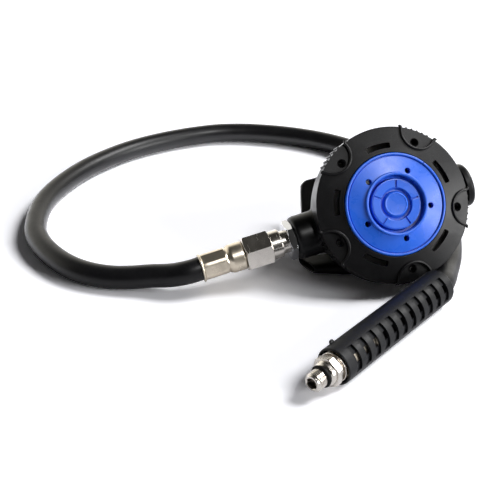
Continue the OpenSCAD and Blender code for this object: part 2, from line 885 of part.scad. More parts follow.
module case() {
    color(black)
        on_stage()
            difference() {
                case_outside();
                case_inside();
                on_valve(-boss_reach - cut)
                    cylinder(h = boss_reach, r = neck_r + seat_gap);
                on_valve(-cavity_x)
                    cylinder(h = cavity_x, r = 8.4);
                on_valve(cap_x - 14)
                    cylinder(h = 16, r = cap_spigot_r + seat_gap);
                translate([0, mouth_y, -tube_end - cut])
                    linear_extrude(tube_end - case_depth + case_wall + 2 * cut)
                        oval(tube_w - 4, tube_h - 4);
                at_port() {
                    translate([0, 0, 0])
                        cylinder(h = 3, r = flap_d / 2 + 0.6);
                    translate([0, 0, -case_wall - cut]) {
                        cylinder(h = case_wall + 2 * cut, r = 1.3, $fn = 32);
                        for (i = [0 : 5])
                            rotate(60 * i)
                                translate([flap_d * 0.29, 0, 0])
                                    cylinder(h = case_wall + 2 * cut, r = 2.4, $fn = 32);
                    }
                }
            }
}

module exhaust_valve() {
    flap_r = flap_d / 2;
    color(rubber)
        on_stage()
            at_port()
                turned([[0, -case_wall - 2.2], [1, -case_wall - 2.2], [1.9, -case_wall - 1],
                    [1.9, -case_wall - 0.2], [1.15, -case_wall - 0.2], [1.15, seat_gap],
                    [flap_r, seat_gap], [flap_r, seat_gap + 0.6], [3, 1.6], [0, 1.6]]);
}

// Duct from the port out to one tip, whose mouth is square to the case
module wing(side, inset) {
    mouth_x = wing_reach + (inset > 0 ? cut : 0);
    mirror([side < 0 ? 1 : 0, 0, 0])
        hull() {
            at_port()
                translate([-1, 0, 4.05])
                    rotate([0, 90, 0])
                        linear_extrude(0.1)
                            round_rect(7.3 - 2 * inset, 2 * (8.5 - inset), wing_round - inset, $fn = 20);
            translate([mouth_x, wing_y, wing_z])
                rotate([0, -90, 0])
                    linear_extrude(1)
                        round_rect(wing_deep - 2 * inset, wing_tall - 2 * inset, wing_round - inset,
                            $fn = 20);
        }
}

module exhaust_tee() {
    cup_r = port_collar_d / 2 + seat_gap + tee_wall;
    color(rubber)
        on_stage()
            difference() {
                union() {
                    at_port() {
                        turned(concat([[0, 0.2], [cup_r, 0.2]],
                            arc(cup_r - 3, tee_low - 3, 3, 0, 90, 6), [[0, tee_low]]));
                    }
                    wing(-1, 0);
                    wing(1, 0);
                }
                at_port() {
                    translate([0, 0, -cut])
                        cylinder(h = 2.2 + cut, d = port_collar_d + 2 * seat_gap);
                    cylinder(h = tee_low - tee_wall, d = port_collar_d - 2);
                }
                wing(-1, tee_wall);
                wing(1, tee_wall);
                case_core();
            }
}

// ---- mouthpiece ----------------------------------------------------------

// Curved plate that lies between lips and gums, hollow side away from the case
module lip_shield() {
    intersection() {
        translate([0, shield_up, -shield_z - shield_w / 4])
            linear_extrude(shield_w / 4)
                difference() {
                    round_rect(shield_w, shield_h, shield_h * 0.4);
                    for (side = [-1, 1])
                        translate([0, side * (shield_h / 2 + shield_w * 0.1)])
                            circle(r = shield_w * 0.13);
                }
        translate([0, shield_h, -shield_z - shield_bend])
            rotate([90, 0, 0])
                difference() {
                    cylinder(h = 2 * shield_h, r = shield_bend, $fn = 128);
                    translate([0, 0, -cut])
                        cylinder(h = 2 * shield_h + 2 * cut, r = shield_bend - shield_t, $fn = 128);
                }
    }
}

module bite_tab() {
    root_z = -shield_z - shield_t;
    tab_w = shield_w / 6;
    translate([shield_w / 4, -bite_t / 2, root_z - bite_len])
        cube([tab_w, bite_t, bite_len]);
    for (i = [0, 1])
        translate([shield_w / 4 + 0.4 * tab_w * i, -1.1 * bite_t + i, root_z - bite_len])
            cube([0.2 * tab_w, 2.2 * bite_t - 2 * i, bite_len * 0.3]);
}

module mouthpiece() {
    color(rubber)
        on_stage()
            translate([0, mouth_y, 0])
                difference() {
                    union() {
                        translate([0, 0, -shield_z - 1])
                            linear_extrude(shield_z + 1 - neck_start)
                                oval(tube_w + 2 * neck_wall, tube_h + 2 * neck_wall);
                        lip_shield();
                        bite_tab();
                        mirror([1, 0, 0])
                            bite_tab();
                    }
                    translate([0, 0, -tube_end - seat_gap])
                        linear_extrude(tube_end)
                            oval(tube_w + 2 * seat_gap, tube_h + 2 * seat_gap);
                    translate([0, 0, -shield_z - shield_w / 4])
                        linear_extrude(shield_z)
                            oval(tube_w - 6, tube_h - 6);
                    translate([0, 0, -tie_z - tie_w])
                        linear_extrude(tie_w)
                            difference() {
                                square(3 * tube_w, center = true);
                                oval(tube_w + 2 * neck_wall - 1.4, tube_h + 2 * neck_wall - 1.4);
                            }
                }
}

module mouthpiece_tie() {
    inner_w = tube_w + 2 * neck_wall - 1.4 + 2 * seat_gap;
    inner_h = tube_h + 2 * neck_wall - 1.4 + 2 * seat_gap;
    color(black)
        on_stage()
            translate([0, mouth_y, -tie_z - tie_w + seat_gap])
                difference() {
                    union() {
                        linear_extrude(tie_w - 2 * seat_gap)
                            oval(inner_w + 2 * tie_t, inner_h + 2 * tie_t);
                        translate([6, inner_h / 2 + 0.8, -0.4])
                            cube([5.5, 3.2, tie_w + 0.6]);
                    }
                    translate([0, 0, -cut])
                        linear_extrude(tie_w + 2 * cut)
                            oval(inner_w, inner_h);
                }
}

// ---- hose and its fittings -----------------------------------------------

module swivel_nut() {
    bore = inlet_d / 2 + run_gap;
    color(nickel)
        on_stage()
            on_valve(swivel_x)
                difference() {
                    union() {
                        hexagon(swivel_af, swivel_hex_h);
                        cylinder(h = swivel_h, r = swivel_af / 2 - 0.5);
                    }
                    translate([0, 0, swivel_wall])
                        cylinder(h = swivel_h, r = bore);
                    translate([0, 0, -cut])
                        cylinder(h = swivel_h, r = stem_r + run_gap);
                }
}

module hose_stem() {
    flange_x = swivel_x + swivel_wall + run_gap;
    barb = 2.6;
    color(nickel)
        on_stage()
            on_valve(ferrule_x + 2)
                turned(concat(
                    [[2.4, 0]],
                    [for (i = [0 : 4]) for (e = [[3.4, 0], [4.2, barb - 0.2]])
                        [e.x, i * barb + e.y]],
                    [[stem_r, 5 * barb], [stem_r, flange_x - ferrule_x - 2],
                     [inlet_d / 2 - 0.2, flange_x - ferrule_x - 2],
                     [inlet_d / 2 - 0.2, inlet_x - seat_gap - ferrule_x - 2],
                     [5.6, inlet_x - seat_gap - ferrule_x - 2], [5.6, inlet_x - 0.9 - ferrule_x - 2],
                     [4.2, inlet_x - 0.9 - ferrule_x - 2], [4.2, inlet_x - seat_gap - ferrule_x - 2],
                     [2.4, inlet_x - seat_gap - ferrule_x - 2]]
                ));
}

module stem_o_ring() {
    color(rubber)
        on_stage()
            on_valve(inlet_x - 0.5)
                torus(4.9, 0.38);
}

// Crimped sleeve, its hose end at z = 0, with pressed flats and a bulge behind them
module ferrule() {
    r = ferrule_d / 2;
    crimp_end = ferrule_h * 0.62;
    difference() {
        union() {
            cylinder(h = 1.1, r = crimp_af / 2 + 0.7);
            intersection() {
                cylinder(h = crimp_end, r = crimp_af / sqrt(3), $fn = 6);
                cylinder(h = crimp_end, r = crimp_af / 2 + 0.4);
            }
            turned(concat([[0, crimp_end - 1], [crimp_af / 2 - 0.5, crimp_end - 1]],
                [for (i = [0 : 8]) [crimp_af / 2 - 0.4 + (r - crimp_af / 2 + 0.4) * sin(90 * i / 8),
                    crimp_end + 0.6 + 4 * i / 8]],
                [[r, ferrule_h - 1], [r - 0.4, ferrule_h], [0, ferrule_h]]));
        }
        translate([0, 0, 2 - seat_gap])
            cylinder(h = ferrule_h, r = stem_r + seat_gap);
    }
}

module inlet_ferrule() {
    color(nickel)
        on_stage()
            on_valve(ferrule_x)
                ferrule();
}

module end_ferrule() {
    color(nickel)
        on_fitting(hose_s)
            mirror([0, 0, 1])
                ferrule();
}

module hose_fitting() {
    r = thread_d / 2;
    color(nickel)
        on_fitting()
            difference() {
                union() {
                    turned([[0, 0], [r - 0.5, 0], [r, 0.5], [r, thread_h], [r - 0.6, thread_h],
                        [r - 0.6, thread_h + groove_h], [r + 1.4, thread_h + groove_h],
                        [r + 1.4, hex_s + 0.1], [0, hex_s + 0.1]]);
                    translate([0, 0, hex_s])
                        intersection() {
                            rotate(30)
                                hexagon(fitting_af, fitting_hex_h + 0.1);
                            cylinder(h = fitting_hex_h + 1, r = fitting_flange_r);
                        }
                    translate([0, 0, flange_s])
                        cylinder(h = fitting_flange_h - seat_gap, r = fitting_flange_r);
                    translate([0, 0, flange_s])
                        cylinder(h = ferrule_h - 1, r = stem_r);
                }
                translate([0, 0, -cut])
                    cylinder(h = hose_s, d = fitting_bore);
                translate([0, 0, -cut])
                    cylinder(h = 4 + cut, d = fitting_bore * 1.24, $fn = 6);
            }
}

module fitting_o_ring() {
    color(rubber)
        on_fitting(thread_h + groove_h / 2)
            torus(thread_d / 2 - 0.6 + 1 + 0.05, 1);
}

// Cuts for one slot: a stepped recess, deepest at its far edge, and a window through it
module protector_slot(bore) {
    w = slot_pitch * 0.55;
    rotate(-slot_span / 2)
        rotate_extrude(angle = slot_span)
            polygon([[protector_r - 0.4, 0], [protector_r + cut, 0], [protector_r + cut, w],
                [protector_r - 1.2, w]]);
    rotate(-slot_span / 5)
        rotate_extrude(angle = slot_span / 2.5)
            translate([bore - cut, w * 0.45])
                square([protector_r - bore, w * 0.55]);
}

module hose_protector() {
    bore = hose_d / 2 + run_gap;
    mouth_bore = fitting_flange_r + 0.4;
    slots_start = (protector_h - (protector_slots - 1) * slot_pitch) / 2 - slot_pitch * 0.3;
    color(rubber)
        on_fitting(mouth_s)
            difference() {
                turned(concat([[bore, 0], [protector_r - 1, 0], [protector_r, 1]],
                    arc(protector_r - 2, protector_h - 2, 2, 0, 90, 5), [[bore, protector_h]]));
                translate([0, 0, -cut])
                    cylinder(h = hose_s - mouth_s + 1 + cut, r = mouth_bore);
                for (row = [0, 1], i = [0 : protector_slots - 1])
                    rotate(180 - 32 + 180 * row)
                        rotate(-90)
                            translate([0, 0, slots_start + i * slot_pitch])
                                protector_slot(bore);
            }
}

module hose() {
    color(rubber)
        sweep(hose_points, hose_d, 12);
}

case();
cover_ring();
slip_ring();
purge_cover();
purge_button();
button_spring();
diaphragm();
diaphragm_plate();
demand_lever();
valve_barrel();
orifice();
orifice_o_ring();
poppet();
poppet_seat();
poppet_spring();
spring_plug();
lock_nut();
side_cap();
side_cap_o_ring();
exhaust_valve();
exhaust_tee();
mouthpiece();
mouthpiece_tie();
swivel_nut();
hose_stem();
stem_o_ring();
inlet_ferrule();
hose();
end_ferrule();
hose_fitting();
fitting_o_ring();
hose_protector();
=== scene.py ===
"""Looks of a scuba second stage, its low-pressure hose, hose protector and fittings.

Every shape is drawn in millimetres, in the stage's own frame (x along the demand
valve, y up the face, z out of the face) or along the valve, the exhaust port or the
fitting, and is placed on the solids in metres at the end.
"""

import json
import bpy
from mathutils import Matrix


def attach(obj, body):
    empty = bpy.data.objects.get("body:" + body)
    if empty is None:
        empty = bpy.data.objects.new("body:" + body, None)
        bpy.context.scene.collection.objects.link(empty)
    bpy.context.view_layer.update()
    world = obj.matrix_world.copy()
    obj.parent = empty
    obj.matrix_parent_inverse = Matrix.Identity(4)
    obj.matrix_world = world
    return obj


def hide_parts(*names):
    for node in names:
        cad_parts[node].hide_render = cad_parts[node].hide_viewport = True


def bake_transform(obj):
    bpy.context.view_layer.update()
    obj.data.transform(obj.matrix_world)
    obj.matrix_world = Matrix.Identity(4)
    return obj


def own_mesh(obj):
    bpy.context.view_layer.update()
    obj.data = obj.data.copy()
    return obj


bl_info = {
    "name": "Scuba Second Stage",
    "version": (1, 0, 0),
    "blender": (4, 5, 0),
    "location": "View3D > Sidebar > Scuba Set",
    "description": "Dresses a scuba second stage, its hose, protector and fittings",
    "category": "Object",
}

from contextlib import contextmanager
from math import atan2, copysign, cos, degrees, hypot, pi, radians, sin, sqrt, tan

import bmesh
import bpy
from bpy.props import FloatProperty, FloatVectorProperty, IntProperty, PointerProperty
from mathutils import Matrix, Vector

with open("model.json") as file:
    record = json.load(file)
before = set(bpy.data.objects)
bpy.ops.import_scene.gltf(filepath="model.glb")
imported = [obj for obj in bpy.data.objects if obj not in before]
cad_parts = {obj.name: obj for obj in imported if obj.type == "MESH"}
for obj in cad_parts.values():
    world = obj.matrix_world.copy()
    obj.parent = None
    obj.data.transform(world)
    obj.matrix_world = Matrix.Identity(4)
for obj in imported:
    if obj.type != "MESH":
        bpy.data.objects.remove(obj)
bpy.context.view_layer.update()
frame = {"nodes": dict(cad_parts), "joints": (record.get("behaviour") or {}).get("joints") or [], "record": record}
JOINTS = {joint["name"]: joint for joint in frame["joints"]}
MM = 0.001

# ---- frames of the stage, the valve, the exhaust port and the fitting ------


def slid(x=0, y=0, z=0):
    return Matrix.Translation((x, y, z))


def turned(angle, axis="Z"):
    return Matrix.Rotation(radians(angle), 4, axis)


def axis_of(joint):
    return Vector(JOINTS[joint]["axis"]).normalized()


WORLD = Matrix.Scale(MM, 4)
RIGHT, OUT = axis_of("poppet_slide"), -axis_of("purge_press")
UP = OUT.cross(RIGHT).normalized()
VALVE_Y, VALVE_Z, PIVOT_X, PIVOT_UP = -1.5, -22.0, 18.0, 3.0
PORT_Y, PORT_Z, PORT_TILT, THREAD_MIDDLE = -21.176, -30.336, 122, 4.5
PIVOT = Vector(JOINTS["lever_swing"]["pos_m"])
FACE = PIVOT - (RIGHT * PIVOT_X + UP * VALVE_Y + OUT * (VALVE_Z + PIVOT_UP)) * MM
STAGE = Matrix.Translation(FACE) @ Matrix((RIGHT, UP, OUT)).transposed().to_4x4() @ WORLD
VALVE = STAGE @ slid(0, VALVE_Y, VALVE_Z) @ turned(90, "Y")
PORT = STAGE @ slid(0, PORT_Y, PORT_Z) @ turned(PORT_TILT, "X")
FROM_WORLD, FROM_VALVE, FROM_PORT = (STAGE.inverted() @ place for place in (WORLD, VALVE, PORT))
THREAD = frame["record"]["mounts"][0]
AWAY = -Vector(THREAD["axis"]).normalized()
TIP = Vector(THREAD["pos_m"]) - AWAY * THREAD_MIDDLE * MM
FITTING = (Matrix.Translation(TIP) @ Matrix.Rotation(atan2(AWAY.y, AWAY.x), 4, "Z")
           @ turned(90, "Y") @ WORLD)

# ---- sizes and colours that a user would change ----------------------------


def length(name, description, default):
    return FloatProperty(name=name, description=description, default=default, min=0,
                         unit="LENGTH", precision=5)


def number(name, description, default, low, high):
    return FloatProperty(name=name, description=description, default=default, min=low, max=high)


def whole(name, description, default, low=1, high=400):
    return IntProperty(name=name, description=description, default=default, min=low, max=high)


def colour(name, description, *default):
    return FloatVectorProperty(name=name, description=description, default=default, size=3,
                               min=0, max=1, subtype="COLOR")


class CoverSizes(bpy.types.PropertyGroup):
    """Sizes of the cover ring and the purge cover"""

    ring: length("Ring", "Outer diameter of the cover ring", 0.083)
    cover: length("Purge cover", "Diameter of the purge cover", 0.0542)
    petals: whole("Petals", "Number of scallops, slots and vents", 5)
    scallop: length("Scallop", "Radius of each scallop", 0.0090)
    bead: length("Lip", "Radius of the lip round each scallop", 0.00072)
    rib: length("Rib", "Width of a grip rib", 0.001)
    slot: length("Slot", "Length of each arc slot", 0.0135)
    slot_width: length("Slot width", "Width of each arc slot", 0.0030)
    hole: length("Scallop hole", "Diameter of the hole in each scallop", 0.0041)
    vent: length("Vent", "Diameter of each vent hole", 0.0032)
    cone: number("Cone", "Slope of the ring's face", 0.27, 0, 1)
    skirt: length("Skirt", "Depth of the ring's skirt below the face", 0.0134)
    button: length("Purge button", "Diameter of the purge button", 0.0266)
    dome: length("Dome", "Diameter of the button's dome", 0.0136)
    turn: FloatProperty(name="Turn", description="Turn of the ring on the case",
                        default=radians(-0.8), subtype="ANGLE")


class HoseSizes(bpy.types.PropertyGroup):
    """Sizes of the hose, its ferrules and its protector"""

    hose: length("Hose", "Outer diameter of the hose", 0.01275)
    sides: whole("Sides", "Faces round the hose", 40, 8, 96)
    step: length("Step", "Distance between the hose's rings", 0.0022)
    ferrule: length("Ferrule", "Diameter of the ferrules", 0.0156)
    ferrule_length: length("Ferrule length", "Length of each ferrule", 0.024)
    crimp: length("Crimp", "Width across the crimped flats", 0.0136)
    protector: length("Protector", "Outer diameter of the protector", 0.019)
    protector_length: length("Protector length", "Length of the protector", 0.0923)
    slots: whole("Slots", "Slots along each side of the protector", 11)
    pitch: length("Slot pitch", "Distance from one slot to the next", 0.0077)


class MetalSizes(bpy.types.PropertyGroup):
    """Sizes of the nuts, the cap and the first-stage fitting"""

    swivel: length("Swivel nut", "Width across flats of the swivel nut", 0.01746)
    lock: length("Lock nut", "Width across flats of the lock nut", 0.01905)
    lock_height: length("Lock nut height", "Thickness of the lock nut", 0.0042)
    cap: length("Side cap", "Diameter of the side cap", 0.024)
    thread: length("Thread", "Major diameter of the thread", 0.00952)
    thread_pitch: length("Thread pitch", "Pitch of the thread", 0.0010583)
    hexagon: length("Fitting hexagon", "Width across flats of the fitting", 0.0143)
    bore: length("Bore", "Bore of the fitting", 0.005)


class RubberSizes(bpy.types.PropertyGroup):
    """Fineness of the soft rubber mouldings"""

    voxel: length("Cell", "Cell of the soft mouldings", 0.0005)
    rounds: whole("Rounds", "Rounds of smoothing on the mouthpiece", 6, 0, 40)


class FinishColours(bpy.types.PropertyGroup):
    """Colours of the plastics, rubbers and metals"""

    case: colour("Case", "Glossy plastic of the case and cap", 0.0022, 0.0022, 0.0028)
    ring: colour("Ring", "Satin plastic of the cover ring", 0.0048, 0.0047, 0.0054)
    purge: colour("Purge cover", "Blue plastic of the purge cover", 0.019, 0.132, 0.74)
    white: colour("White plastic", "Plastic of the inner parts", 0.72, 0.72, 0.69)
    silicone: colour("Silicone", "Clear silicone", 0.62, 0.61, 0.57)
    mouth: colour("Mouthpiece", "Silicone of the mouthpiece", 0.0100, 0.0100, 0.0112)
    seal: colour("Seals", "Rubber of the O-rings and the tee", 0.0030, 0.0030, 0.0034)
    hose: colour("Hose", "Rubber of the hose", 0.0030, 0.0029, 0.0038)
    sleeve: colour("Protector", "Matte rubber of the protector", 0.0036, 0.0040, 0.0054)
    nickel: colour("Nickel", "Plate of the nuts and the fitting", 0.72, 0.68, 0.63)
    ferrule: colour("Ferrules", "Warm plate of the ferrules", 0.74, 0.66, 0.54)
    zinc: colour("Lock nut", "Bright zinc plate", 0.62, 0.63, 0.66)
    steel: colour("Spring steel", "Springs and lever", 0.60, 0.60, 0.61)
    brass: colour("Brass", "Machined brass of the valve", 0.78, 0.61, 0.29)


class StudioSettings(bpy.types.PropertyGroup):
    """Camera, lamps and floor"""

    lens: number("Lens", "Focal length in millimetres on a 36 mm sensor", 70.2, 20, 300)
    eye: FloatVectorProperty(name="Eye", description="Place of the camera", subtype="XYZ",
                             unit="LENGTH", default=(-0.19573, -0.44101, 0.2806))
    sight: FloatVectorProperty(name="Sight", description="Direction of the camera", size=3,
                               default=(0.2512, 0.82875, -0.5))
    key: number("Key", "Strength of the lamp at the right", 3.1, 0, 20)
    fill: number("Fill", "Strength of the lamp at the front right", 2.7, 0, 20)
    top: number("Top", "Strength of the lamp that only glosses", 1.5, 0, 20)
    sky: number("Sky", "Strength of the room's light", 0.055, 0, 5)
    floor: number("Floor", "How bright the floor looks to the camera", 1.29, 0, 3)


GROUPS = {"cover": CoverSizes, "hose": HoseSizes, "metal": MetalSizes, "rubber": RubberSizes,
          "colours": FinishColours, "studio": StudioSettings}


def sizes(name):
    """The settings of one group, from the scene."""
    return getattr(bpy.context.scene, "scuba_" + name)


def mm(value):
    return value / MM


# ---- outlines --------------------------------------------------------------


def held(value, low=0, high=1):
    return min(high, max(low, value))


def fan(first, last, steps):
    """Angles in radians, from one angle in degrees to another."""
    return [radians(first + (last - first) * i / steps) for i in range(steps + 1)]


def arc(cx, cy, radius, first, last, steps=8):
    """Points of an arc, from one angle in degrees to another."""
    return [(cx + radius * cos(a), cy + radius * sin(a)) for a in fan(first, last, steps)]


def oval(width, height, steps=32):
    """Corners of an oval with round ends, wider than it is high."""
    side, r = (width - height) / 2, height / 2
    return arc(side, 0, r, -90, 90, steps) + arc(-side, 0, r, 90, 270, steps)


def filleted(corners, steps=4):
    """Outline in which each corner that has a third number is an arc of that radius."""
    outline, count, straight = [], len(corners), radians(88)
    for i, corner in enumerate(corners):
        point = Vector(corner[:2])
        before = Vector(corners[i - 1][:2]) - point
        after = Vector(corners[(i + 1) % count][:2]) - point
        sharp = len(corner) < 3 or min(before.length, after.length) < 1e-6
        half = pi if sharp else before.angle(after) / 2
        if half > straight:
            outline.append(tuple(point))
            continue
        reach = min(corner[2] / tan(half), 0.48 * before.length, 0.48 * after.length)
        radius = reach * tan(half)
        before.normalize()
        after.normalize()
        centre = point + (before + after).normalized() * (radius / sin(half))
        first, last = point + before * reach - centre, point + after * reach - centre
        sweep = pi - 2 * half
        for t in (k / steps for k in range(steps + 1)):
            spoke = (first * sin((1 - t) * sweep) + last * sin(t * sweep)) / sin(sweep)
            outline.append(tuple(centre + spoke))
    return outline


def smooth_path(points, share=6):
    """Points of a smooth curve through the points of a route."""
    points = [Vector(p) for p in points]
    ends = [points[0] * 2 - points[1]] + points + [points[-1] * 2 - points[-2]]
    path = []
    for a, b, c, d in zip(ends, ends[1:], ends[2:], ends[3:]):
        for t in (k / share for k in range(share)):
            path.append(0.5 * ((2 * b) + (c - a) * t + (2 * a - 5 * b + 4 * c - d) * t * t
                               + (3 * b - a - 3 * c + d) * t ** 3))
    return path + [points[-1]]


# ---- meshes ----------------------------------------------------------------


def linked(name, data):
    """New object in the scene."""
    item = bpy.data.objects.new(name, data)
    bpy.context.scene.collection.objects.link(item)
    return item


@contextmanager
def editing(mesh):
    """Opens a mesh for editing and writes it back."""
    shape = bmesh.new()
    shape.from_mesh(mesh)
    yield shape
    shape.to_mesh(mesh)
    shape.free()


def piece_of(name, points, faces):
    """Object of a mesh, with its faces turned outwards."""
    mesh = bpy.data.meshes.new(name)
    mesh.from_pydata([tuple(p) for p in points], [], faces)
    with editing(mesh) as shape:
        bmesh.ops.recalc_face_normals(shape, faces=shape.faces)
    return linked(name, mesh)


def skinned(name, rows, closed=False):
    """Object whose skin runs over rows of as many points, shut at its ends or closed."""
    n, count = len(rows[0]), len(rows)
    faces = []
    for i in range(count if closed else count - 1):
        low, high = i * n, (i + 1) % count * n
        faces += [(low + j, low + (j + 1) % n, high + (j + 1) % n, high + j) for j in range(n)]
    if not closed:
        faces += [tuple(range(n)), tuple(range(n * (count - 1), n * count))]
    return piece_of(name, [point for row in rows for point in row], faces)


def sector(name, outline, turns):
    """Object of an outline of (radius, height) corners at each of some angles."""
    return skinned(name, [[(r * cos(a), r * sin(a), z) for r, z in outline] for a in turns])


def spun(name, outline, steps=96, bend=None):
    """Object of an outline of (radius, height) corners turned once about z.

    bend(radius, height, angle) gives another radius, for flats and threads.
    """
    points, rings, faces = [], [], []
    for r, z in outline:
        if r < 1e-6:
            rings.append([len(points)])
            points.append((0, 0, z))
            continue
        rings.append(range(len(points), len(points) + steps))
        for a in (2 * pi * i / steps for i in range(steps)):
            reach = bend(r, z, a) if bend else r
            points.append((reach * cos(a), reach * sin(a), z))
    pairs = list(zip(rings, rings[1:]))
    if len(rings[0]) > 1 or len(rings[-1]) > 1:
        pairs.append((rings[-1], rings[0]))
    for low, high in pairs:
        for i in range(steps):
            j = (i + 1) % steps
            if len(low) == 1 and len(high) == 1:
                break
            if len(low) == 1:
                faces.append((low[0], high[i], high[j]))
            elif len(high) == 1:
                faces.append((low[i], low[j], high[0]))
            else:
                faces.append((low[i], low[j], high[j], high[i]))
    return piece_of(name, points, faces)


def rod(name, radius, low, high, steps=96):
    return spun(name, [(0, low), (radius, low), (radius, high), (0, high)], steps)


def prism(name, outline, low, high):
    """Object of a flat outline of (x, y) corners drawn up from z low to z high."""
    count = len(outline)
    points = [(x, y, z) for z in (low, high) for x, y in outline]
    faces = [tuple(range(count)), tuple(range(2 * count - 1, count - 1, -1))]
    faces += [(i, (i + 1) % count, count + (i + 1) % count, count + i) for i in range(count)]
    return piece_of(name, points, faces)


def block(name, low, high):
    """Object of a box between two corners."""
    corners = [(low[0], low[1]), (high[0], low[1]), (high[0], high[1]), (low[0], high[1])]
    return prism(name, corners, low[2], high[2])


def tube_along(name, path, radii, sides=12):
    """Object of a closed tube along points, with one radius for each point."""
    rows, right = [], None
    for i, point in enumerate(path):
        heading = (path[min(i + 1, len(path) - 1)] - path[max(i - 1, 0)]).normalized()
        right = right or heading.orthogonal().normalized()
        right = (right - heading * right.dot(heading)).normalized()
        up = heading.cross(right)
        rows.append([point + radii[i] * (cos(a) * right + sin(a) * up)
                     for a in (2 * pi * j / sides for j in range(sides))])
    return skinned(name, rows)


def flat_tube(name, stations, wall, sides=40):
    """Hollow flat tube through sections of (x, y, z, half width, half height)."""
    def section(x, y, z, wide, high):
        ways = [(cos(a), sin(a)) for a in (2 * pi * i / sides for i in range(sides))]
        return [(x, y + wide * copysign(abs(c) ** 0.6, c), z + high * copysign(abs(d) ** 0.75, d))
                for c, d in ways]

    inner = [(x, y, z, wide - wall, high - wall) for x, y, z, wide, high in reversed(stations)]
    return skinned(name, [section(*station) for station in (*stations, *inner)], True)


def applied(piece):
    """Makes a piece's live modifiers part of its mesh."""
    bpy.context.view_layer.update()
    graph = bpy.context.evaluated_depsgraph_get()
    mesh = bpy.data.meshes.new_from_object(piece.evaluated_get(graph), depsgraph=graph)
    if piece.type != "MESH":
        name = piece.name
        bpy.data.objects.remove(piece)
        return linked(name, mesh)
    piece.modifiers.clear()
    piece.data = mesh
    return piece


def modified(piece, kind, **settings):
    """Makes one modifier part of a piece's mesh."""
    modifier = piece.modifiers.new(kind, kind)
    for name, value in settings.items():
        setattr(modifier, name, value)
    return applied(piece)


def carved(piece, cutter, operation="DIFFERENCE"):
    """Cuts one object out of another, or keeps what both hold."""
    modified(piece, "BOOLEAN", operation=operation, object=cutter, solver="EXACT")
    bpy.data.objects.remove(cutter)
    return piece


def joined(piece, *others):
    """Puts the meshes of other objects into a piece's mesh."""
    with editing(piece.data) as shape:
        for other in others:
            shape.from_mesh(other.data)
    for other in others:
        bpy.data.objects.remove(other)
    return piece


def edged(piece, width, angle=35, segments=2):
    """Rounds the edges that turn by more than an angle in degrees."""
    with editing(piece.data) as shape:
        bmesh.ops.remove_doubles(shape, verts=shape.verts, dist=0.002)
        bmesh.ops.dissolve_degenerate(shape, edges=shape.edges, dist=0.002)
    return modified(piece, "BEVEL", width=width, segments=segments, limit_method="ANGLE",
                    angle_limit=radians(angle))


def moved(piece, place):
    piece.data.transform(place)
    return piece


def from_solid(node, width=0.0):
    """Merged copy of a solid in millimetres of the part, with its edges rounded."""
    mesh = frame["nodes"][node].data.copy()
    for layer in ("custom_normal", "sharp_edge"):
        if layer in mesh.attributes:
            mesh.attributes.remove(mesh.attributes[layer])
    mesh.materials.clear()
    mesh.transform(Matrix.Scale(1 / MM, 4))
    with editing(mesh) as shape:
        bmesh.ops.remove_doubles(shape, verts=shape.verts, dist=0.003)
        bmesh.ops.dissolve_limit(shape, angle_limit=radians(0.8), verts=shape.verts,
                                 edges=shape.edges)
    piece = linked("copy", mesh)
    return edged(piece, width) if width else piece


def rounded_by_cells(piece, cell, rounds):
    """Makes overlapping shapes one moulding, with its edges and corners blended."""
    modified(piece, "REMESH", mode="VOXEL", voxel_size=cell)
    return modified(piece, "SMOOTH", factor=0.5, iterations=rounds)


def settled(piece, name, place, slot, *nodes, body="base", look=None, sharp=40, flats=True):
    """Puts a finished piece on the solids, hides the solids it stands for, and hangs it on the body it rides on.
    """
    piece.name = name
    mesh = piece.data
    mesh.transform(place)
    mesh.materials.clear()
    mesh.materials.append(finish(look or slot))
    mesh.polygons.foreach_set("material_index", [0] * len(mesh.polygons))
    mesh.shade_smooth()
    mesh.set_sharp_from_angle(angle=radians(sharp))
    if flats:
        modified(piece, "WEIGHTED_NORMAL", keep_sharp=True)
    if body:
        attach(piece, body)
    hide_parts(*nodes)
    return piece


def o_ring(name, node, place, radius, height, thick, sides=12, steps=72):
    """Builds an O-ring round the z of a frame."""
    section = arc(radius, height, thick, 0, 360 - 360 / sides, sides - 1)
    settled(spun(name, section, steps), name, place, "black_rubber", node)


# ---- geometry node trees ---------------------------------------------------

SOCKETS = {"Geometry": "NodeSocketGeometry", "Material": "NodeSocketMaterial",
           "Vector": "NodeSocketVector"}


def filled(wires, item, inputs):
    """Gives inputs of a node, by name or number, their values or their links."""
    for name, value in inputs.items():
        if isinstance(value, bpy.types.NodeSocket):
            wires.links.new(value, item.inputs[name])
        else:
            item.inputs[name].default_value = value
    return item


def node_in(wires, kind, inputs=None, **settings):
    """Adds a node with its settings and inputs."""
    item = wires.nodes.new(kind)
    for name, value in settings.items():
        setattr(item, name, value)
    return filled(wires, item, inputs or {})


def maths(wires, operation, *values):
    return node_in(wires, "ShaderNodeMath", dict(enumerate(values)), operation=operation).outputs[0]


def tree_called(name, inputs, *outputs):
    """An empty node group with named inputs and outputs, and its two end nodes."""
    kind = "GeometryNodeTree" if "Geometry" in outputs else "ShaderNodeTree"
    wires = bpy.data.node_groups.new(name, kind)
    for label, default in inputs.items():
        plain = "NodeSocketInt" if isinstance(default, int) else "NodeSocketFloat"
        socket = wires.interface.new_socket(name=label, in_out="INPUT",
                                            socket_type=SOCKETS.get(label, plain))
        if default is not None:
            socket.default_value = default
    for label in outputs:
        wires.interface.new_socket(name=label, in_out="OUTPUT",
                                   socket_type=SOCKETS.get(label, "NodeSocketFloat"))
    return wires, wires.nodes.new("NodeGroupInput").outputs, wires.nodes.new("NodeGroupOutput")


def shared(name, maker):
    """A node tree, built the first time it is asked for."""
    return bpy.data.node_groups.get(name) or maker(name)


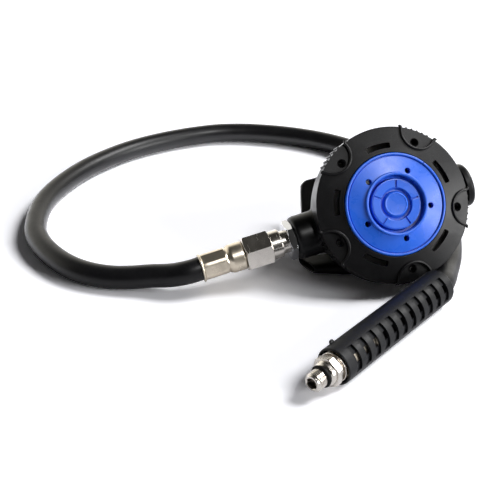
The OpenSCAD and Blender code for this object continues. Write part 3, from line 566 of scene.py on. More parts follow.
def ended(wires, given, end, geometry):
    """Ends a tree with real geometry in its material."""
    real = node_in(wires, "GeometryNodeRealizeInstances", {0: geometry}).outputs[0]
    dressed = node_in(wires, "GeometryNodeSetMaterial", {
        "Geometry": real, "Material": given["Material"]}).outputs[0]
    filled(wires, end, {0: dressed})
    return wires


def round_wire(wires, given, end, line, radius):
    """Ends a tree with a tube of a radius along a line."""
    section = node_in(wires, "GeometryNodeCurvePrimitiveCircle", {
        "Resolution": given["Sides"], "Radius": radius}).outputs[0]
    tube = node_in(wires, "GeometryNodeCurveToMesh", {
        "Curve": line, "Profile Curve": section, "Fill Caps": True}).outputs[0]
    return ended(wires, given, end, tube)


def ranks_tree(name):
    """Copies turned about z, in rows along z."""
    wires, given, end = tree_called(name, {
        "Geometry": None, "Copies": 5, "First Angle": 0.0, "Step Angle": 1.2566, "Rows": 1,
        "First Row": 0.0, "Row Pitch": 1.0, "Material": None}, "Geometry")
    index = node_in(wires, "GeometryNodeInputIndex").outputs[0]
    row = maths(wires, "FLOOR", maths(wires, "DIVIDE", index, given["Copies"]))
    turn = maths(wires, "MODULO", index, given["Copies"])
    height = maths(wires, "MULTIPLY_ADD", row, given["Row Pitch"], given["First Row"])
    angle = maths(wires, "MULTIPLY_ADD", turn, given["Step Angle"], given["First Angle"])
    up, about = (node_in(wires, "ShaderNodeCombineXYZ", {"Z": value}).outputs[0]
                 for value in (height, angle))
    spots = node_in(wires, "GeometryNodePoints", {
        "Count": maths(wires, "MULTIPLY", given["Copies"], given["Rows"]), "Position": up})
    copies = node_in(wires, "GeometryNodeInstanceOnPoints", {
        "Points": spots.outputs[0], "Instance": given["Geometry"], "Rotation": about})
    return ended(wires, given, end, copies.outputs[0])


def coil_tree(name):
    """A coil of round wire that rises along z."""
    wires, given, end = tree_called(name, {
        "Geometry": None, "Turns": 5.0, "First Radius": 3.0, "Last Radius": 3.0, "Rise": 10.0,
        "Wire Radius": 0.35, "Steps": 160, "Sides": 12, "Material": None}, "Geometry")
    line = node_in(wires, "GeometryNodeCurveSpiral", {
        "Resolution": given["Steps"], "Rotations": given["Turns"],
        "Start Radius": given["First Radius"], "End Radius": given["Last Radius"],
        "Height": given["Rise"]})
    return round_wire(wires, given, end, line.outputs[0], given["Wire Radius"])


def sweep_tree(name):
    """A round tube along a curve, in even steps."""
    wires, given, end = tree_called(name, {
        "Geometry": None, "Radius": 6.0, "Sides": 32, "Step": 2.0, "Material": None}, "Geometry")
    line = node_in(wires, "GeometryNodeResampleCurve", {
        "Curve": given["Geometry"], "Length": given["Step"]}, mode="LENGTH").outputs[0]
    upright = node_in(wires, "GeometryNodeSetCurveNormal", {"Curve": line}, mode="Z_UP")
    return round_wire(wires, given, end, upright.outputs[0], given["Radius"])


def grown(piece, name, maker, values):
    """Runs a geometry tree on a piece, with its inputs given by name."""
    modifier = piece.modifiers.new(name, "NODES")
    modifier.node_group = shared(name, maker)
    for socket in modifier.node_group.interface.items_tree:
        if socket.name in values:
            modifier[socket.identifier] = values[socket.name]
    return applied(piece)


def round_the_face(piece, count, first, step=None, rows=1, start=0.0, pitch=1.0):
    """Copies of a piece about z, at angles in degrees, in rows along z."""
    return grown(piece, "Turned copies in rows", ranks_tree, {
        "Copies": count, "First Angle": radians(first),
        "Step Angle": radians(360 / count if step is None else step),
        "Rows": rows, "First Row": float(start), "Row Pitch": float(pitch)})


COIL_LABELS = ("Turns", "First Radius", "Last Radius", "Rise", "Wire Radius", "Steps")


def coil(name, node, place, low, *values):
    """Builds a spring round the z of a frame, from a height up; its values have labels."""
    spring = grown(piece_of(name, [(0, 0, 0)], []), "Coiled wire", coil_tree,
                   dict(zip(COIL_LABELS, values)))
    return settled(moved(spring, slid(z=low)), name, place, "spring_steel", node)


# ---- shader groups and finishes --------------------------------------------

DUST, DARK, PALE, STAIN = (0.42, 0.42, 0.43, 1), 0.86, 1.06, 0.8


def noise(wires, vector, scale, detail, roughness, distortion=0.0):
    return node_in(wires, "ShaderNodeTexNoise", {
        "Vector": vector, "Scale": scale, "Detail": detail, "Roughness": roughness,
        "Distortion": distortion}).outputs["Fac"]


def ranged(wires, value, low, high, to_low=0.0, to_high=1.0):
    return node_in(wires, "ShaderNodeMapRange", {
        "Value": value, "From Min": low, "From Max": high, "To Min": to_low,
        "To Max": to_high}).outputs[0]


def squeezed(wires, vector, scale, rotation=(0, 0, 0)):
    return node_in(wires, "ShaderNodeMapping", {
        "Vector": vector, "Rotation": rotation, "Scale": scale}).outputs[0]


def skin_group(name):
    """Fine grain of a moulded surface, and slow changes of its tone."""
    wires, given, end = tree_called(
        name, {"Vector": None, "Grain": 4000.0, "Patches": 60.0}, "Height", "Tone")
    slow = noise(wires, given["Vector"], given["Patches"], 4.0, 0.55)
    filled(wires, end, {"Height": noise(wires, given["Vector"], given["Grain"], 2.0, 0.6),
                        "Tone": ranged(wires, slow, 0.3, 0.7)})
    return wires


def marks_group(name):
    """Smudges and hair scratches left by handling."""
    wires, given, end = tree_called(
        name, {"Vector": None, "Smudge": 90.0, "Scratch": 500.0}, "Smudges", "Scratches")
    blots = noise(wires, given["Vector"], given["Smudge"], 5.0, 0.65, 0.6)
    stretch = squeezed(wires, given["Vector"], (1.0, 0.05, 0.3), (0.4, 0.7, 0.9))
    hairs = noise(wires, stretch, given["Scratch"], 3.0, 0.7)
    filled(wires, end, {"Smudges": ranged(wires, blots, 0.46, 0.72),
                        "Scratches": ranged(wires, hairs, 0.66, 0.7)})
    return wires


def dust_group(name):
    """Light dust on what faces up."""
    wires, given, end = tree_called(
        name, {"Vector": None, "Specks": 2600.0, "Amount": 0.3}, "Mask")
    facing = node_in(wires, "ShaderNodeNewGeometry").outputs["Normal"]
    up = node_in(wires, "ShaderNodeSeparateXYZ", {"Vector": facing}).outputs["Z"]
    specks = noise(wires, given["Vector"], given["Specks"], 2.0, 0.7)
    both = maths(wires, "MULTIPLY", ranged(wires, up, 0.1, 0.95),
                 ranged(wires, specks, 0.56, 0.72))
    filled(wires, end, {"Mask": maths(wires, "MULTIPLY", both, given["Amount"])})
    return wires


def lathe_group(name):
    """Fine turned lines round the z of the coordinates it is given."""
    wires, given, end = tree_called(name, {"Vector": None, "Lines": 5000.0}, "Height", "Tone")
    flat = squeezed(wires, given["Vector"], (0.02, 0.02, 1.0))
    filled(wires, end, {"Height": noise(wires, flat, given["Lines"], 3.0, 0.6),
                        "Tone": noise(wires, given["Vector"], 140.0, 4.0, 0.6)})
    return wires


def group_in(wires, name, maker, values):
    """Places a shared shader group in a material."""
    return node_in(wires, "ShaderNodeGroup", values, node_tree=shared(name, maker)).outputs


def blended(wires, mask, first, second):
    """Colour that goes from one to another with a mask."""
    return node_in(wires, "ShaderNodeMix", {0: mask, 6: first, 7: second},
                   data_type="RGBA").outputs[2]


def toned(base, times):
    """A colour made lighter or darker."""
    return (*(min(1.0, c * times) for c in base), 1.0)


def bumped(wires, height, strength, distance):
    return node_in(wires, "ShaderNodeBump", {
        "Height": height, "Strength": strength, "Distance": distance}).outputs[0]


def blank(name):
    """A new material, its wires, its shader and its object coordinates."""
    material = bpy.data.materials.new(name)
    material.use_nodes = True
    wires = material.node_tree
    place = node_in(wires, "ShaderNodeTexCoord").outputs["Object"]
    return material, wires, wires.nodes["Principled BSDF"], place


def moulded(name, base, rough, grain, lift, dust, specular, *more):
    """Moulded plastic or rubber: grain, tone, smudges, hair scratches and dust."""
    material, wires, shader, place = blank(name)
    scale, strength, depth = grain
    skin = group_in(wires, "Moulded skin", skin_group, {"Vector": place, "Grain": scale})
    marks = group_in(wires, "Handling marks", marks_group, {"Vector": place})
    specks = group_in(wires, "Settled dust", dust_group, {"Vector": place, "Amount": dust})
    patchy = blended(wires, skin["Tone"], toned(base, DARK), toned(base, PALE))
    scratched = maths(wires, "MULTIPLY", marks["Scratches"], 0.35)
    worn = blended(wires, scratched, patchy, toned(base, lift))
    filled(wires, shader, {
        "Base Color": blended(wires, specks["Mask"], worn, DUST),
        "Roughness": ranged(wires, marks["Smudges"], 0, 1, *rough),
        "Normal": bumped(wires, skin["Height"], strength, depth),
        "Specular IOR Level": specular, **dict(more)})
    return material


def metal(name, base, rough, place_frame, lines, depth):
    """Turned and plated metal, with its lathe lines round the axis of a frame."""
    material, wires, shader, place = blank(name)
    origin, turn, _ = place_frame.decompose()
    axis = node_in(wires, "ShaderNodeMapping", {
        "Vector": place, "Location": origin, "Rotation": turn.to_euler()},
        vector_type="TEXTURE").outputs[0]
    lathe = group_in(wires, "Lathe lines", lathe_group, {"Vector": axis, "Lines": lines})
    marks = group_in(wires, "Handling marks", marks_group, {"Vector": place, "Smudge": 160.0})
    stained = blended(wires, lathe["Tone"], toned(base, 0.88), toned(base, 1))
    scratched = maths(wires, "MULTIPLY", marks["Scratches"], 0.12)
    filled(wires, shader, {
        "Base Color": blended(wires, marks["Smudges"], stained, toned(base, STAIN)),
        "Roughness": maths(wires, "ADD", ranged(wires, lathe["Tone"], 0, 1, *rough), scratched),
        "Normal": bumped(wires, lathe["Height"], depth, 0.00002), "Metallic": 1.0})
    return material


# colour, roughness, grain (scale, strength, depth), lift of scratches, dust and specular
MOULDED = {
    "case_black": ("case", (0.36, 0.48), (2500, 0.05, 3e-5), 1.7, 0.03, 0.18),
    "ring_black": ("ring", (0.34, 0.46), (5200, 0.30, 3e-5), 1.7, 0.08, 0.22),
    "blue_plastic": ("purge", (0.27, 0.42), (5200, 0.28, 3e-5), 1.25, 0.03, 0.42),
    "white_plastic": ("white", (0.35, 0.50), (4000, 0.25, 3e-5), 1.05, 0.15, 0.50),
    "clear_silicone": ("silicone", (0.28, 0.42), (4000, 0.25, 3e-5), 1.05, 0.15, 0.50,
                       ("Transmission Weight", 0.35), ("IOR", 1.41)),
    "black_silicone": ("mouth", (0.30, 0.42), (3800, 0.18, 3e-5), 1.7, 0.15, 0.55),
    "black_rubber": ("seal", (0.48, 0.60), (4200, 0.20, 3e-5), 1.7, 0.03, 0.15),
    "hose_rubber": ("hose", (0.36, 0.46), (3000, 0.35, 5e-5), 1.7, 0.05, 0.28),
    "protector_rubber": ("sleeve", (0.46, 0.58), (4600, 0.45, 5e-5), 1.7, 0.06, 0.26),
}
# colour, roughness, frame of the lathe, and the scale and depth of its lines
METALS = {
    "nickel_plate": ("nickel", (0.14, 0.28), VALVE, 4000, 0.08),
    "nickel_fitting": ("nickel", (0.16, 0.30), FITTING, 4000, 0.08),
    "nickel_ferrule": ("ferrule", (0.20, 0.40), VALVE, 2200, 0.25),
    "far_ferrule": ("ferrule", (0.20, 0.40), FITTING, 5000, 0.12),
    "zinc_plate": ("zinc", (0.07, 0.15), VALVE, 2500, 0.05),
    "spring_steel": ("steel", (0.20, 0.34), STAGE, 5000, 0.12),
    "brass": ("brass", (0.20, 0.36), VALVE, 5000, 0.12),
}


def finish(look):
    """The material of one look, made the first time it is asked for."""
    table, maker = (METALS, metal) if look in METALS else (MOULDED, moulded)
    base, *rest = table[look]
    name = "Finish " + look.replace("_", " ")
    return bpy.data.materials.get(name) or maker(name, getattr(sizes("colours"), base), *rest)


# ---- the studio ------------------------------------------------------------


def lamp(name, azimuth, height, spread, strength):
    """A distant soft lamp, by the direction that it shines from, in degrees."""
    data = bpy.data.lights.new(name, "SUN")
    data.angle, data.energy = radians(spread), strength
    item = linked(name, data)
    turn, rise = radians(azimuth), radians(height)
    towards = Vector((cos(rise) * cos(turn), cos(rise) * sin(turn), sin(rise)))
    item.location = towards
    item.rotation_euler = (-towards).to_track_quat("-Z", "Y").to_euler()
    return item


def rays_and_place(wires, coordinates):
    """What kind of ray looks, and the x, y and z of where it looks."""
    place = node_in(wires, "ShaderNodeTexCoord").outputs[coordinates]
    return (node_in(wires, "ShaderNodeLightPath").outputs,
            node_in(wires, "ShaderNodeSeparateXYZ", {0: place}).outputs)


def white_floor(seen):
    """Floor that looks white to the camera, and glows in reflections from behind."""
    half, low, near_glow, far_glow, tint = 9, -0.00005, 0.86, 1.6, (0.962, 0.964, 1.0)
    mesh = bpy.data.meshes.new("Floor")
    mesh.from_pydata([(x, y, low) for x, y in arc(0, 0, half * sqrt(2), 225, 495, 3)], [],
                     [(0, 1, 2, 3)])
    paper = bpy.data.materials.new("White floor")
    paper.use_nodes = True
    wires = paper.node_tree
    wires.nodes.remove(wires.nodes["Principled BSDF"])
    rays, place = rays_and_place(wires, "Object")
    far = ranged(wires, place["Y"], 0.0, 0.1, 0.0, far_glow)
    glow = maths(wires, "MULTIPLY_ADD", far, rays["Is Glossy Ray"], near_glow)
    level = maths(wires, "MULTIPLY_ADD", rays["Is Camera Ray"],
                  maths(wires, "SUBTRACT", seen, glow), glow)
    shade = node_in(wires, "ShaderNodeVectorMath", {0: tint, "Scale": level}, operation="SCALE")
    sheet = node_in(wires, "ShaderNodeBsdfDiffuse", {"Color": shade.outputs[0]})
    filled(wires, wires.nodes["Material Output"], {"Surface": sheet.outputs[0]})
    mesh.materials.append(paper)
    return linked("Floor", mesh)


def room(sky):
    """World that is white to the camera, and a low screen behind to reflections."""
    glow, dark, white, warm = 1.5, 0.03, (1, 1, 1, 1), (1, 0.97, 0.88, 1)
    world = bpy.data.worlds.new("Room")
    world.use_nodes = True
    wires = world.node_tree
    rays, heading = rays_and_place(wires, "Generated")
    behind = ranged(wires, heading["Y"], 0.0, 0.45)
    low = ranged(wires, heading["Z"], 0.45, 0.75, 1.0, 0.0)
    screen = maths(wires, "MULTIPLY_ADD", maths(wires, "MULTIPLY", behind, low), glow, dark)
    seen = maths(wires, "MAXIMUM", rays["Is Glossy Ray"], rays["Is Transmission Ray"])
    level = maths(wires, "MULTIPLY_ADD", seen, maths(wires, "SUBTRACT", screen, sky), sky)
    filled(wires, wires.nodes["Background"], {
        "Strength": maths(wires, "MAXIMUM", level, rays["Is Camera Ray"]),
        "Color": blended(wires, rays["Is Glossy Ray"], white, warm)})
    return world


class SCUBA_OT_studio(bpy.types.Operator):
    """Builds the camera, the lamps, the floor and the room's light"""

    bl_idname = "scuba.studio"
    bl_label = "Studio"

    def execute(self, context):
        s = sizes("studio")
        data = bpy.data.cameras.new("Camera")
        data.lens, data.sensor_width, data.clip_start = s.lens, 36, 0.01
        camera = context.scene.camera = linked("Camera", data)
        camera.location = s.eye
        camera.rotation_euler = Vector(s.sight).to_track_quat("-Z", "Y").to_euler()
        lamp("Key", -3, 48, 26, s.key)
        lamp("Fill", -42, 17, 30, s.fill)
        lamp("Streak", -73, 49, 7, s.top).visible_diffuse = False
        white_floor(s.floor)
        context.scene.world = room(s.sky)
        context.scene.view_settings.view_transform = "Standard"
        return {"FINISHED"}


# ---- nuts, ferrules and the fitting ----------------------------------------


def across(width, angle, turn, cap):
    """Reach of a turned hexagon of a width across flats, at an angle, up to a round cap."""
    side = (angle - turn + pi / 6) % (pi / 3) - pi / 6
    return min(width / 2 / cos(side), cap)


def hexagon(name, width, height, turn=0, chamfer=0.55):
    """A hexagonal bar whose corners are turned down to a cone at its ends."""
    corner, flat = width / sqrt(3), width / 2 - 0.15
    drop = (corner + 0.3 - flat) * chamfer
    bar = prism(name, arc(0, 0, corner, turn, turn + 300, 5), 0, height)
    cone = [(0, 0), (flat, 0), (corner + 0.3, drop), (corner + 0.3, height - drop),
            (flat, height), (0, height)]
    return carved(bar, spun("cone", cone, 120), "INTERSECT")


def crimped(name):
    """Crimped sleeve: flared lip, six pressed flats, a waist and a fuller barrel."""
    s = sizes("hose")
    height, r, flat = mm(s.ferrule_length), mm(s.ferrule) / 2, mm(s.crimp) / 2
    end, bore, inner = height * 0.6, mm(s.hose) / 2 - 0.15, 4.5
    outline = [(bore, 0.0), (flat + 0.55, 0.0), *arc(flat + 0.45, 0.5, 0.5, -60, 60, 5),
               (flat + 0.3, 1.3), (flat + 0.1, 1.8)]
    outline += [(flat + 0.1, 1.8 + (end - 2.4) * i / 8) for i in range(1, 9)]
    outline += [(flat - 0.15, end), (flat - 0.2, end + 0.35)]
    outline += [(flat - 0.2 + (r - flat + 0.2) * sin(pi * i / 12), end + 0.35 + 2.8 * i / 6)
                for i in range(1, 7)]
    outline += [(r, height - 2.0), *arc(r - 0.9, height - 0.9, 0.9, 0, 90, 6), (inner, height),
                (inner, 1.5), (bore, 1.5)]

    def pressed(reach, z, angle):
        if reach < flat - 0.5 or z < 0.9:
            return reach
        grip = held((z - 0.9) / 1.2) * held((end + 0.2 - z) / 0.7)
        grip = grip * grip * (3 - 2 * grip)
        return reach * (1 - grip) + grip * across(2 * flat, angle, radians(24), flat + 0.5)

    return spun(name, outline, 144, pressed)


class SCUBA_OT_fitting(bpy.types.Operator):
    """Builds the first-stage fitting, its O-ring and the ferrule behind it"""

    bl_idname = "scuba.fitting"
    bl_label = "First-stage fitting"

    def execute(self, context):
        s = sizes("metal")
        r, pitch, bore = mm(s.thread) / 2, mm(s.thread_pitch), mm(s.bore) / 2
        # radii, and heights from the tip
        root, first, last, collar = r - 0.65, 0.8, 6.1, 8.2
        hex_low, hex_high, flange, back, end = 10.6, 14.3, 16.0, 17.1, 42.3
        corner, neck, flange_r, socket = mm(s.hexagon) / sqrt(3), 5.6, 7.6, bore * 1.22

        def thread(reach, z, angle):
            if reach < r - 0.1:
                return reach
            share = (z / pitch - angle / (2 * pi)) % 1
            ridge = held(1.5 - abs(share - 0.5) * 3.6)
            fade = held((last - 0.2 - z) / 0.5) * held((z - first) / 0.4)
            return root + (r - root) * ridge * fade

        rows = [(bore, 0.4), (bore + 0.4, 0.0), (r - 1.15, 0.0), (r - 0.7, 0.3), (r - 0.6, first)]
        rows += [(r, first + pitch / 12 * i) for i in range(1, 60)]
        rows += [(root, last + 0.1), (root, collar + 0.5), (bore, collar + 0.5)]
        tip = spun("tip", rows, 96, thread)
        carved(tip, prism("socket", arc(0, 0, socket, 0, 300, 5), -1, 4))
        body = spun("body", filleted([
            (bore, collar), (5.2, collar, 0.3), (6.0, collar + 0.7, 0.3),
            (6.4, hex_low - 0.2, 0.2), (6.4, hex_low + 0.5), (bore, hex_low + 0.5)]))
        nut = hexagon("hexagon", mm(s.hexagon), hex_high - hex_low, 6, 0.35)
        carved(nut, rod("keep", corner - 0.35, -1, 9), "INTERSECT")
        carved(nut, rod("hole", bore, -1, 9, 48))
        moved(edged(nut, 0.12, 25), slid(z=hex_low))
        tail = spun("flange", filleted([
            (bore, hex_high - 0.3), (neck, hex_high - 0.3), (neck, flange, 0.2),
            (flange_r, flange, 0.3), (flange_r, back, 0.3), (4.3, back), (4.3, end),
            (bore, end)]))
        settled(joined(tip, body, nut, tail), "hose_end_fitting", FITTING, "nickel_plate",
                "hose_fitting", look="nickel_fitting", sharp=28)
        o_ring("fitting_seal", "fitting_o_ring", FITTING, r + 0.12, (last + collar) / 2, 0.78,
               16, 96)

        sleeve = crimped("far_ferrule")
        moved(sleeve, slid(z=19.3 + mm(sizes("hose").ferrule_length))
              @ Matrix.Diagonal((1, 1, -1, 1)))
        sleeve.data.flip_normals()
        settled(sleeve, "far_ferrule", FITTING, "nickel_ferrule", "end_ferrule",
                look="far_ferrule", sharp=28)
        return {"FINISHED"}


class SCUBA_OT_inlet(bpy.types.Operator):
    """Builds the lock nut, the swivel nut, the hose's stem and the ferrule at the inlet"""

    bl_idname = "scuba.inlet"
    bl_label = "Inlet nuts and ferrule"

    def execute(self, context):
        s = sizes("metal")
        lock_at, swivel_at, sleeve_at = -57.0, -81.0, -105.2
        nut = hexagon("nut", mm(s.lock), mm(s.lock_height) - 0.1, 30)
        edged(carved(nut, rod("hole", 6.3, -1, 6, 72)), 0.28, 25)
        settled(moved(nut, slid(z=lock_at)), "inlet_lock_nut", VALVE, "zinc_plate", "lock_nut",
                sharp=28)

        swivel = hexagon("swivel", mm(s.swivel), 14.8)
        edged(carved(swivel, rod("hole", 4.6, -1, 16, 72)), 0.14, 25)
        collar_r = mm(s.swivel) / 2 - 0.9
        joined(swivel, spun("collar", filleted([
            (7.05, 2.6), (4.7, 2.6), (4.7, 13.4), (collar_r, 13.4), (collar_r, 20.6, 0.4),
            (7.05, 20.6, 0.2)])))
        settled(moved(swivel, slid(z=swivel_at)), "inlet_swivel_nut", VALVE, "nickel_plate",
                "swivel_nut", body="swivel_nut", sharp=28)

        settled(from_solid("hose_stem", 0.12), "inlet_stem", WORLD, "nickel_plate", "hose_stem")
        o_ring("stem_seal", "stem_o_ring", VALVE, 4.9, -73.7, 0.38)
        settled(moved(crimped("sleeve"), slid(z=sleeve_at)), "near_ferrule", VALVE,
                "nickel_ferrule", "inlet_ferrule", sharp=28)
        return {"FINISHED"}


class SCUBA_OT_protector(bpy.types.Operator):
    """Builds the slotted rubber hose protector"""

    bl_idname = "scuba.protector"
    bl_label = "Hose protector"

    def execute(self, context):
        s = sizes("hose")
        r, height, bore = mm(s.protector) / 2, mm(s.protector_length), mm(s.hose) / 2 + 0.3
        start, wide, deep, pitch, seam_at = 16.6, 8.2, 27.7, mm(s.pitch), 140
        body = spun("protector", filleted([
            (wide, 0, 0.6), (r, 0, 1.1), (r, height, 2.4), (bore, height, 0.4), (bore, deep),
            (wide, deep)], 6), 120)
        w = pitch * 0.55
        first = (height - (s.slots - 1) * pitch) / 2 - pitch * 0.3
        # half the angle and the section of each recess, and of the window in it
        for half, corners in (
                (42, [(r - 0.3, 0), (r + 1, 0), (r + 1, w), (r - 1.3, w)]),
                (14, [(bore - 1, w * 0.34), (r, w * 0.34), (r, w - 0.02), (bore - 1, w - 0.02)])):
            cutter = sector("cutter", corners, fan(-half, half, 14))
            carved(body, round_the_face(cutter, 2, 58, 180, s.slots, first, pitch))
        edged(body, 0.16)
        seam = block("seam", (r - 0.5, -0.14, 3), (r + 0.16, 0.14, height - 4))
        nub = spun("nub", [(0, -1), *arc(0, 0, 1.15, -60, 90)[:-1], (0, 1.15)], 16)
        moved(nub, slid(r + 0.35, 0.1, 6.5) @ Matrix.Diagonal((1.2, 0.8, 1.4, 1)))
        joined(body, moved(seam, turned(seam_at)), moved(nub, turned(seam_at)))
        settled(moved(body, slid(z=start)), "protector_sleeve", FITTING, "protector_rubber",
                "hose_protector", sharp=32)
        return {"FINISHED"}


def on_stage(x, y, z):
    return tuple(STAGE @ Vector((x, y, z)))


def hose_route():
    """Points that the hose follows over the floor, from the inlet to the protector."""
    low = 6.375
    rising = [(-108, -7, 10.6), (-118, -2, 9), (-128, 2, 7.6), (-138, 7, 6.6)]
    lying = [(-148, 14), (-157, 24), (-164, 37), (-169, 52), (-171, 68), (-169, 84),
             (-164, 101), (-156, 117), (-144, 133), (-130, 147), (-115, 158), (-99, 167),
             (-83, 173), (-66, 177), (-49, 179), (-32, 179), (-15, 175), (1, 168), (16, 159),
             (30, 148), (42, 135), (52, 120), (60, 103), (66, 84), (69, 64), (69, 44), (66, 24),
             (61, 5), (53, -13)]
    climbing = [(45, -28, 6.6), (37, -40, 6.9), (31, -49, 8.4)]
    floor = rising + [(x, y, low) for x, y in lying] + climbing
    return ([on_stage(x, VALVE_Y, VALVE_Z) for x in (-102.9, -111.9)]
            + [(x * MM, y * MM, z * MM) for x, y, z in floor]
            + [tuple(FITTING @ Vector((0, 0, s))) for s in (111.4, 100.4, 75, 60, 43.3)])


class SCUBA_OT_hose(bpy.types.Operator):
    """Builds the low-pressure hose"""

    bl_idname = "scuba.hose"
    bl_label = "Hose"

    def execute(self, context):
        s = sizes("hose")
        path = smooth_path(hose_route())
        line = bpy.data.curves.new("hose", "CURVE")
        line.dimensions = "3D"
        spline = line.splines.new("POLY")
        spline.points.add(len(path) - 1)
        for spot, point in zip(spline.points, path):
            spot.co = (*(point / MM), 1)
        hose = grown(linked("hose_line", line), "Swept tube", sweep_tree, {
            "Radius": mm(s.hose) / 2, "Sides": s.sides, "Step": mm(s.step)})
        settled(hose, "low_pressure_hose", WORLD, "hose_rubber", "hose")
        long = sum((b - a).length for a, b in zip(path, path[1:]))
        tuple(path[0])
        [tuple(p) for p in path]
        return {"FINISHED"}


# ---- cover ring, purge cover and button ------------------------------------

SPIGOT_Z, POCKET_R, SHELF_R = -10.15, 38.2, 34.5
SCALLOPS_AT, SLOTS_AT = 54, 18


def top_height(r):
    """Height of the ring's conical face at a radius."""
    s = sizes("cover")
    return 0.9 - s.cone * (r - mm(s.cover) / 2 - 0.3)


def ring_outline():
    """Outline of the cover ring's section: a conical face, a skirt and a spigot."""
    s = sizes("cover")
    outer, inner = mm(s.ring) / 2, mm(s.cover) / 2 + 0.3
    seat, foot = POCKET_R - 0.3, -mm(s.skirt)
    return filleted([
        (inner, -3.0, 0.2), (inner, top_height(inner), 0.3), (outer, top_height(outer), 0.55),
        (outer, foot, 0.3), (outer - 0.95, foot, 0.2), (outer - 0.95, -8.0), (seat, -8.0, 0.3),
        (seat, SPIGOT_Z, 0.3), (seat - 2.1, SPIGOT_Z, 0.3), (POCKET_R - 3.4, -6.2),
        (31.9, -4.9), (inner + 2.7, -3)], 5)


def arc_slot(radius, long, width, corner):
    """Cutter of a slot that follows a circle, with rounded corners."""
    half = degrees(long / 2 / radius)
    sides = (arc(0, 0, radius + width / 2, -half, half, 6)
             + arc(0, 0, radius - width / 2, half, -half, 6))
    return prism("slot", filleted([(*point, corner) if i % 7 in (0, 6) else point
                                   for i, point in enumerate(sides)]), -9, 3)


def lip_path(middle, reach, outer):
    """Points of the raised lip: round the scallop, then flaring out over the rim."""
    path = arc(middle, 0, reach, 99.6, 260.4, 48)
    x, y = path[0]
    flare = [(outer - 0.5, y + 1.6), (outer - 1.0, y + 1.1), (x + 0.55 * (outer - x), y + 0.6)]
    other = [(x, -y) for x, y in reversed(flare)]
    return smooth_path([(x, y, top_height(min(hypot(x, y), outer - 0.2)) + 0.42)
                        for x, y in flare + path + other], 2)


class SCUBA_OT_cover_ring(bpy.types.Operator):
    """Builds the black cover ring with its scallops, lips, slots, holes and ribs"""

    bl_idname = "scuba.cover_ring"
    bl_label = "Cover ring"

    def execute(self, context):
        s = sizes("cover")
        outer, petals, scallop, bead = mm(s.ring) / 2, s.petals, mm(s.scallop), mm(s.bead)
        ring = spun("ring", ring_outline(), 200)

        middle, fall = outer - 0.3, 0.19
        inward = middle - scallop
        floor_z = top_height(inward) - 1.5
        cup = moved(rod("cup", scallop, -8, 8), slid(middle))
        above = block("above", (-2, -41, 0), (60, 41, 12))
        moved(above, slid(inward, 0, floor_z) @ Matrix.Rotation(atan2(fall, 1), 4, "Y"))
        carved(cup, above, "INTERSECT")
        slot = arc_slot(mm(s.cover) / 2 + 4.2, mm(s.slot), mm(s.slot_width), 0.7)
        hole_r, hole_x = mm(s.hole) / 2, outer - 6.2
        hole_z = floor_z - fall * (hole_x - inward)
        hole = spun("hole", [(0, -15), (hole_r * 0.7, -15), (hole_r * 0.7, hole_z - 1.4),
                             (hole_r, hole_z - 0.5), (hole_r + 0.45, hole_z + 0.1),
                             (hole_r + 0.45, 6), (0, 6)], 40)
        moved(hole, slid(hole_x))
        for cutter, first in ((cup, SCALLOPS_AT), (slot, SLOTS_AT), (hole, SCALLOPS_AT)):
            carved(ring, round_the_face(cutter, petals, first))
        for x, r in ((-46, 12.3), (34, 11.7)):
            carved(ring, moved(rod("boss", r, x, x + 12), FROM_VALVE))
        edged(ring, 0.28, 26)

        path = lip_path(middle, scallop + 0.45, outer)
        radii = [bead * (1 - 0.35 * held(1 - min(i, len(path) - 1 - i) / 3))
                 for i in range(len(path))]
        lip = tube_along("lip", path, radii)
        rib = block("rib", (outer - 1, -mm(s.rib) / 2, 0.3 - mm(s.skirt)),
                    (outer + 0.75, mm(s.rib) / 2, top_height(outer) - 1.4))
        joined(lip, round_the_face(edged(rib, 0.3, 35, 3), 5, -8.4, 4.2))
        joined(ring, round_the_face(lip, petals, SCALLOPS_AT))
        moved(ring, Matrix.Rotation(s.turn, 4, "Z"))
        settled(ring, "ring_moulding", STAGE, "ring_black", "cover_ring", sharp=34)
        return {"FINISHED"}


